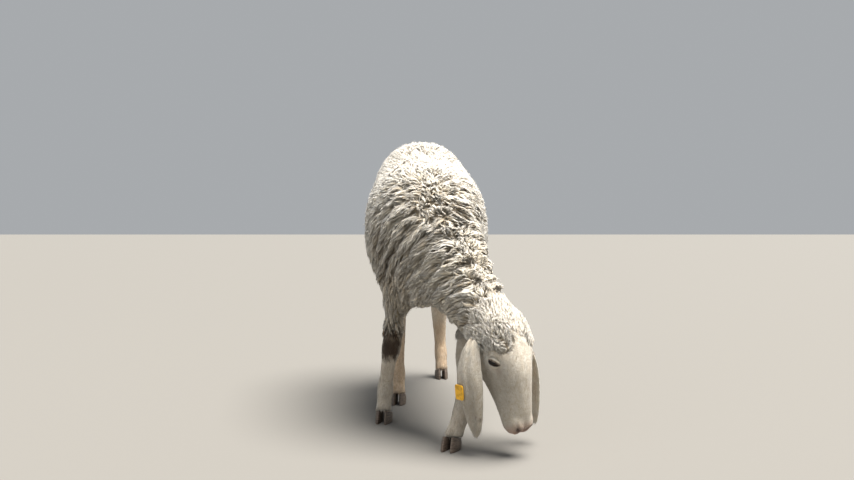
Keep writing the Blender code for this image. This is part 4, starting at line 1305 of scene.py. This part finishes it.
# A claw's sole and its height at the middle of the coronet, and how many points go round it.
CLAW_LENGTH, CLAW_WIDTH, CLAW_HEIGHT = 0.052, 0.022, 0.027
CLAW_AROUND = 44


def make_lashes(colours):
    """A row of pale lashes on each upper lid, 9 mm long at the middle, that curve out and down."""
    turn = np.linspace(0.12, 0.88, 26) * math.pi
    s = np.linspace(0, 1, 6)
    lines, ups = [], []
    for mirror in (1, -1):
        place, gaze, slit, above = eye_frame(mirror)
        x = (LID_HALF_LENGTH + 0.0006) * np.cos(turn)
        y = (UPPER_LID + 0.0006) * np.sin(turn) ** 1.25
        deep = np.sqrt((EYE_RADIUS + 0.0012) ** 2 - x**2 - y**2)
        root = place + x[:, None] * slit + y[:, None] * above + deep[:, None] * gaze
        long = 0.0090 * (0.65 + 0.35 * np.sin(turn))[:, None, None]
        out = unit(0.9 * gaze + 0.35 * above + 0.35 * np.cos(turn)[:, None] * slit)[:, None]
        line = root[:, None] + long * (s[:, None] * out - 0.55 * (s**2)[:, None] * above)
        lines.append(line)
        ups.append(np.broadcast_to(above, line.shape))
    lines, ups = np.concatenate(lines), np.concatenate(ups)
    left, bottom, width, _ = MAP_BOXES["lids"]
    across = left + width * np.linspace(0.05, 0.95, len(lines))
    spots = np.stack((across, np.full(len(lines), bottom + 0.15)), axis=1)
    tint = np.broadcast_to(np.array(colours.lash), (len(lines), 3))
    wide = np.full(len(lines), 0.0007)
    lock_piece("lashes", "short_hair", short_hair_on_hide, lines, ups, wide, spots, tint, 1.0, 4, 1.5)


def make_eye(side_name, mirror, colours):
    """An eyeball on a polar grid about its gaze, with a cornea that bulges by 0.6 mm, a dark amber iris 18 mm across
    and a slit of a pupil, 11 mm by 4 mm, that lies level."""
    place, gaze, _, _ = eye_frame(mirror)
    level = unit(np.cross(gaze, (0, 0, 1.0)))
    upright = np.cross(level, gaze)
    rings, around = 40, 64
    fall = np.linspace(0.02, math.pi - 0.02, rings)[:, None]
    turn = (np.arange(around) * 2 * math.pi / around)[None, :]
    radius = EYE_RADIUS - 0.0004 + 0.0006 * (1 - ease(0.35, 0.62, fall))
    x, y = np.sin(fall) * np.cos(turn) * radius, np.sin(fall) * np.sin(turn) * radius
    deep = np.cos(fall) * radius + 0 * turn
    points = (place + x[..., None] * level + y[..., None] * upright + deep[..., None] * gaze).reshape(-1, 3)
    ends = place + np.array((1, -1))[:, None] * gaze * (EYE_RADIUS - 0.0001)
    points = np.vstack((points, ends))
    x, y = np.append(x.ravel(), (0, 0)), np.append(y.ravel(), (0, 0))
    front = np.append(deep.ravel(), (1, -1)) > 0
    iris = ((1 - ease(0.0084, 0.0090, np.hypot(x, y))) * front)[:, None]
    pupil = ((1 - ease(0.85, 1.05, (np.abs(x) / 0.0056) ** 3 + (np.abs(y) / 0.0021) ** 3)) * front)[:, None]
    amber = np.array(colours.iris) * (0.75 + 0.5 * ripple(points * 3, 0.004, 71))[:, None]
    tint = np.array(colours.eye_white) * (1 - iris) + amber * iris
    tint = tint * (1 - pupil) + np.array(colours.pupil) * pupil
    faces = [grid_faces(rings, around)[:, ::-1], pole_faces(rings, around)]
    made = mesh_object(f"eyeball_{side_name}", points, faces, look(wet_eye), Tint=tint)
    fix_normals(made)
    finish(made, "eye", f"eye_{side_name}")


def fix_normals(made):
    """Turns every face of a closed piece out."""
    bm = bmesh.new()
    bm.from_mesh(made.data)
    bmesh.ops.recalc_face_normals(bm, faces=bm.faces)
    bm.to_mesh(made.data)
    bm.free()


def claw_points(side):
    """Half of a cloven hoof over its sole: rings of a half-moon, flatter inside and narrower at the toe, that
    shorten towards the coronet, which slopes down to the heel, with shallow growth rings on the wall."""
    levels = np.array((0.0, 0.0, 0.05, 0.15, 0.30, 0.45, 0.60, 0.75, 0.88, 0.97, 1.0))
    turn = np.arange(CLAW_AROUND) * 2 * math.pi / CLAW_AROUND
    up_the_wall = (0, 0.1, 0.55, 1.0)
    long = CLAW_LENGTH * np.interp(levels, up_the_wall, (1.00, 1.02, 0.92, 0.78))
    wide = CLAW_WIDTH * np.interp(levels, up_the_wall, (0.94, 1.00, 1.00, 0.95))
    back = np.interp(levels, up_the_wall, (0.0, 0.0005, 0.004, 0.007))
    ring = 1 + 0.012 * np.sin(levels * 34) * (levels > 0.1)
    long[0], wide[0] = long[0] * 0.90, wide[0] * 0.86
    forwards = np.cos(turn) * long[:, None] * ring[:, None] / 2 - back[:, None]
    across = np.sin(turn) * (1 - 0.28 * np.cos(turn)) * wide[:, None] * ring[:, None] / 2
    across = np.where(across < 0, across * 0.62, across)
    top = CLAW_HEIGHT + forwards * math.tan(math.radians(16))
    height = top * levels[:, None]
    height[1] = 0.0006
    return np.stack((side * (0.0094 - 0.0006 * levels[:, None] + across), forwards, height), axis=-1)


def make_hooves():
    """The eight claws of the four feet, in a piece for each foot."""
    for foot in FEET:
        place, turned = STANCE[foot]
        angle = math.pi + turned * (1 if foot.endswith("left") else -1)
        turn = np.array(((math.cos(angle), -math.sin(angle), 0), (math.sin(angle), math.cos(angle), 0), (0, 0, 1)))
        stand = np.array((*place, 0)) + (SHIFT[0], SHIFT[1], 0)
        points, quads, caps = [], [], []
        column = np.arange(CLAW_AROUND)
        for number, side in enumerate((1, -1)):
            rings = claw_points(side)
            start = number * len(rings) * CLAW_AROUND
            points.append(rings.reshape(-1, 3) @ turn.T + stand)
            quads.append(grid_faces(len(rings), CLAW_AROUND) + start)
            caps.append(np.stack((column + start, (column + start + (len(rings) - 1) * CLAW_AROUND)[::-1])))
        faces = [np.vstack(quads), np.vstack(caps)]
        made = mesh_object(f"hoof_{foot}", np.vstack(points), faces, look(grown_hoof_horn))
        fix_normals(made)
        made.data.set_sharp_from_angle(angle=math.radians(50))
        finish(made, "horn", f"claw_{foot}_outer", f"claw_{foot}_inner")


def make_dewclaws():
    """The two small horny nubs behind each fetlock, 24 mm apart: rounded cones that point down and back."""
    rings, around = 9, 18
    s = np.linspace(0, 1, rings)[:, None]
    turn = (np.arange(around) * 2 * math.pi / around)[None, :]
    radius = 0.0062 * np.sqrt(np.maximum(1 - s**2, 0.0025)) * (0.9 + 0.1 * s)
    shape = np.stack((np.cos(turn) * radius, np.sin(turn) * radius, s * 0.0125 + 0 * turn), axis=-1).reshape(-1, 3)
    tip = unit((0, 0.42, -0.90))
    side = np.array((1.0, 0, 0))
    axes = np.stack((side, np.cross(tip, side), tip))
    points, quads, caps = [], [], []
    column = np.arange(around)
    for number, (place, spread) in enumerate([(place, s) for place in DEWCLAWS.values() for s in (-0.012, 0.012)]):
        start = number * rings * around
        points.append(np.array(place) + SHIFT + (spread, 0.0, 0.0) + shape @ axes)
        quads.append(grid_faces(rings, around) + start)
        caps.append(np.stack((column[::-1] + start, column + start + (rings - 1) * around)))
    made = mesh_object("dewclaws", np.vstack(points), [np.vstack(quads), np.vstack(caps)], look(grown_hoof_horn))
    fix_normals(made)
    finish(made, "horn")


def dress_tag():
    """The tag's plate and button stay as they are, in their own plastic."""
    for node in ("ear_tag_plate", "ear_tag_button"):
        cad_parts[node].material_slots[0].material = look(moulded_polyurethane_tag)


# --------------------------------------------------------------------------------------------------------- stage


def set_lamp(name, kind, place, target, **settings):
    """A light of this kind, turned from its place to its target."""
    light = bpy.data.lights.new(name, kind)
    for key, value in settings.items():
        setattr(light, key, value)
    made = bpy.data.objects.new(name, light)
    made.location = place
    made.rotation_euler = (Vector(target) - made.location).to_track_quat("-Z", "Y").to_euler()
    bpy.context.scene.collection.objects.link(made)


def make_stage(stage):
    """A pale floor out to the horizon, an even bright surround, a wide soft key light from above and the right, a
    soft box that fills the left, and the camera."""
    grid = np.linspace(-1, 1, 21)
    x, y = np.meshgrid(grid, grid, indexing="ij")
    points = np.stack((x * 30, y * 30 + 10, 0 * x), axis=-1).reshape(-1, 3)
    mesh_object("floor", points, [grid_faces(21, 21, closed=False)[:, ::-1]], look(matt_painted_floor))

    world = bpy.data.worlds.new("studio")
    world.use_nodes = True
    background = world.node_tree.nodes["Background"]
    background.inputs["Color"].default_value = rgba("#e4e8ec")
    background.inputs["Strength"].default_value = stage.surround
    bpy.context.scene.world = world
    key = {"energy": stage.key_strength, "angle": math.radians(40), "color": (1.0, 0.96, 0.90)}
    set_lamp("key", "SUN", (1.8, -0.3, 6.6), (0.0, 0.0, 0.35), **key)
    fill = {"energy": stage.fill_power, "shape": "SQUARE", "size": 2.4, "color": (0.93, 0.96, 1.0)}
    set_lamp("fill", "AREA", (-2.4, -2.6, 1.6), (0.0, -0.1, 0.3), **fill)

    camera = bpy.data.cameras.new("camera")
    camera.lens = stage.lens
    camera.dof.use_dof = False
    eye = bpy.data.objects.new("camera", camera)
    eye.location = (SHIFT[0], SHIFT[1] - stage.camera_distance, stage.camera_height)
    eye.rotation_euler = (math.pi / 2 - stage.camera_pitch, 0.0, 0.0)
    bpy.context.scene.collection.objects.link(eye)
    bpy.context.scene.camera = eye
    bpy.context.scene.view_settings.view_transform = "Standard"


# -------------------------------------------------------------------------------------------------------- add-on


def length_property(name, default, description):
    """A length in metres."""
    return bpy.props.FloatProperty(
        name=name, description=description, default=default, min=0.0, subtype="DISTANCE", unit="LENGTH", precision=4
    )


def colour_property(name, code, description):
    """A colour whose default is an sRGB hex code."""
    return bpy.props.FloatVectorProperty(
        name=name, description=description, default=tuple(linear(code)), size=3, min=0.0, max=1.0, subtype="COLOR"
    )


class SheepSizes(bpy.types.PropertyGroup):
    """Sizes of the skin and the coat."""

    skin_grain: length_property("Skin grain", 0.0056, "Width of the skin's faces")
    lock_length: length_property("Lock length", 0.050, "How far a hanging lock trails on neck, shoulders and flanks")
    lock_width: length_property("Lock width", 0.0105, "Width of a lock at its widest")
    lock_spacing: length_property("Lock spacing", 0.0084, "Distance between the roots of neighbouring locks")
    strand_width: length_property("Strand width", 0.0021, "Width of the thin strands that lie over the locks")
    strand_spacing: length_property("Strand spacing", 0.0082, "Distance between the roots of neighbouring strands")
    staple_spacing: length_property("Staple spacing", 0.028, "Distance between the staples that hanging locks join")
    staple_pull: bpy.props.FloatProperty(
        name="Staple pull", description="How far the tips are drawn to their staple", default=0.55, min=0.0, max=1.0
    )


class SheepColours(bpy.types.PropertyGroup):
    """Colours of the coat, the skin and the eyes."""

    wool: colour_property("Wool", "#f9f0e1", "Clean wool near its tips")
    under_wool: colour_property("Under the wool", "#d8ccb8", "Skin and root wool, seen in the partings")
    hair: colour_property("Short hair", "#ece7dd", "Hair of the face and ears")
    # This colour is partly dust and partly painted shade: low on the sides, at the right shoulder and under the throat.
    dirt: colour_property("Dirt", "#978872", "Dusty wool low on the sides, at the right shoulder and the throat")
    grey_leg: colour_property("Grey legs", "#b5aa9a", "Hair of the forelegs")
    # Painted shade: this grey on the nose, the right cheek and the right ear stands for shade on white hair.
    face_shade: colour_property("Grey face", "#a59e92", "Hair of the right cheek, the nose and the right ear")
    tan_leg: colour_property("Tan legs", "#d9b07c", "Hair of the hind legs")
    # Mud on the right knee; the same colour paints the flakes of crease shade on the withers.
    knee: colour_property("Knee stain", "#33210f", "Mud on the right knee, and the dry grass in the wool")
    pink: colour_property("Pink skin", "#a8776a", "Thinly haired skin of the muzzle")
    # Dark skin on the lids' rims; in the nostrils and the mouth's slit the same colour is painted shade.
    rim: colour_property("Lid rim", "#2a1d17", "Bare dark rim of the lids, and the inside of the nostrils")
    rust: colour_property("Tear stain", "#8a4f2c", "Stain below the inner corner of the eye")
    lash: colour_property("Lashes", "#8d7f70", "Eyelashes")
    iris: colour_property("Iris", "#28190d", "Iris of the eye")
    pupil: colour_property("Pupil", "#0d0a0a", "Slit of the pupil")
    eye_white: colour_property("Eye white", "#33271f", "What shows round the iris")


class SheepStage(bpy.types.PropertyGroup):
    """Camera and light."""

    lens: bpy.props.FloatProperty(
        name="Lens", description="Focal length", default=31.2, min=1.0, subtype="DISTANCE_CAMERA", unit="CAMERA"
    )
    camera_distance: length_property("Camera distance", 2.0, "How far in front of the sheep's middle it stands")
    camera_height: length_property("Camera height", 0.48, "Height of the camera over the floor")
    camera_pitch: bpy.props.FloatProperty(
        name="Camera pitch", description="How far it looks down", default=math.radians(1.08), subtype="ANGLE"
    )
    surround: bpy.props.FloatProperty(name="Surround", description="Strength of the even light", default=0.50, min=0)
    key_strength: bpy.props.FloatProperty(
        name="Key light", description="Strength of the far soft key light", default=11.5, min=0
    )
    fill_power: bpy.props.FloatProperty(
        name="Fill light", description="Power of the fill light", default=20.0, min=0, subtype="POWER", unit="POWER"
    )


class SHEEP_OT_skin(bpy.types.Operator):
    """Make the skin with its ears and lids"""

    bl_idname = "sheep.skin"
    bl_label = "Skin"

    def execute(self, context):
        make_skin(context.scene.sheep_sizes, context.scene.sheep_colours)
        return {"FINISHED"}


class SHEEP_OT_fleece(bpy.types.Operator):
    """Grow the fleece, the curls of crown and ears, and the dark flakes of painted crease shade on the withers"""

    bl_idname = "sheep.fleece"
    bl_label = "Fleece"

    def execute(self, context):
        make_fleece(context.scene.sheep_sizes, context.scene.sheep_colours)
        make_crown(context.scene.sheep_colours)
        make_ear_tufts(context.scene.sheep_colours)
        make_crease_shade_flakes(context.scene.sheep_colours)
        return {"FINISHED"}


class SHEEP_OT_short_hair(bpy.types.Operator):
    """Grow the short hair of face, ears and legs"""

    bl_idname = "sheep.short_hair"
    bl_label = "Short hair"

    def execute(self, context):
        make_short_hair(context.scene.sheep_colours)
        return {"FINISHED"}


class SHEEP_OT_eyes(bpy.types.Operator):
    """Make both eyeballs and the lashes"""

    bl_idname = "sheep.eyes"
    bl_label = "Eyes"

    def execute(self, context):
        for side_name, mirror in (("right", 1), ("left", -1)):
            make_eye(side_name, mirror, context.scene.sheep_colours)
        make_lashes(context.scene.sheep_colours)
        return {"FINISHED"}


class SHEEP_OT_hooves(bpy.types.Operator):
    """Make the hooves and dewclaws"""

    bl_idname = "sheep.hooves"
    bl_label = "Hooves"

    def execute(self, context):
        make_hooves()
        make_dewclaws()
        return {"FINISHED"}


class SHEEP_OT_ear_tag(bpy.types.Operator):
    """Give the ear tag its plastic"""

    bl_idname = "sheep.ear_tag"
    bl_label = "Ear tag"

    def execute(self, context):
        dress_tag()
        return {"FINISHED"}


class SHEEP_OT_stage(bpy.types.Operator):
    """Set up floor, light and camera"""

    bl_idname = "sheep.stage"
    bl_label = "Stage"

    def execute(self, context):
        make_stage(context.scene.sheep_stage)
        return {"FINISHED"}


class SHEEP_PT_panel(bpy.types.Panel):
    """The sheep's operators and values in the sidebar"""

    bl_idname = "SHEEP_PT_panel"
    bl_label = "Grazing Sheep"
    bl_space_type = "VIEW_3D"
    bl_region_type = "UI"
    bl_category = "Sheep"

    def draw(self, context):
        for group in (context.scene.sheep_sizes, context.scene.sheep_colours, context.scene.sheep_stage):
            for key in group.__annotations__:
                self.layout.prop(group, key)
        for operator in OPERATORS:
            self.layout.operator(operator.bl_idname)


GROUPS = {"sheep_sizes": SheepSizes, "sheep_colours": SheepColours, "sheep_stage": SheepStage}
OPERATORS = (
    SHEEP_OT_skin,
    SHEEP_OT_fleece,
    SHEEP_OT_short_hair,
    SHEEP_OT_eyes,
    SHEEP_OT_hooves,
    SHEEP_OT_ear_tag,
    SHEEP_OT_stage,
)


def register():
    """Tells Blender of the groups, the operators and the panel, and gives each scene its values."""
    for made in (*GROUPS.values(), *OPERATORS, SHEEP_PT_panel):
        bpy.utils.register_class(made)
    for key, group in GROUPS.items():
        setattr(bpy.types.Scene, key, bpy.props.PointerProperty(type=group))


def unregister():
    """Takes all of that back."""
    for key in GROUPS:
        delattr(bpy.types.Scene, key)
    for made in (SHEEP_PT_panel, *reversed(OPERATORS), *GROUPS.values()):
        bpy.utils.unregister_class(made)


def main():
    """Makes every piece in order."""
    register()
    for operator in OPERATORS:
        group, name = operator.bl_idname.split(".")
        getattr(getattr(bpy.ops, group), name)()
    bpy.data.objects.remove(bpy.data.objects["body_form"])
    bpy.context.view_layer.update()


if __name__ == "__main__":
    main()
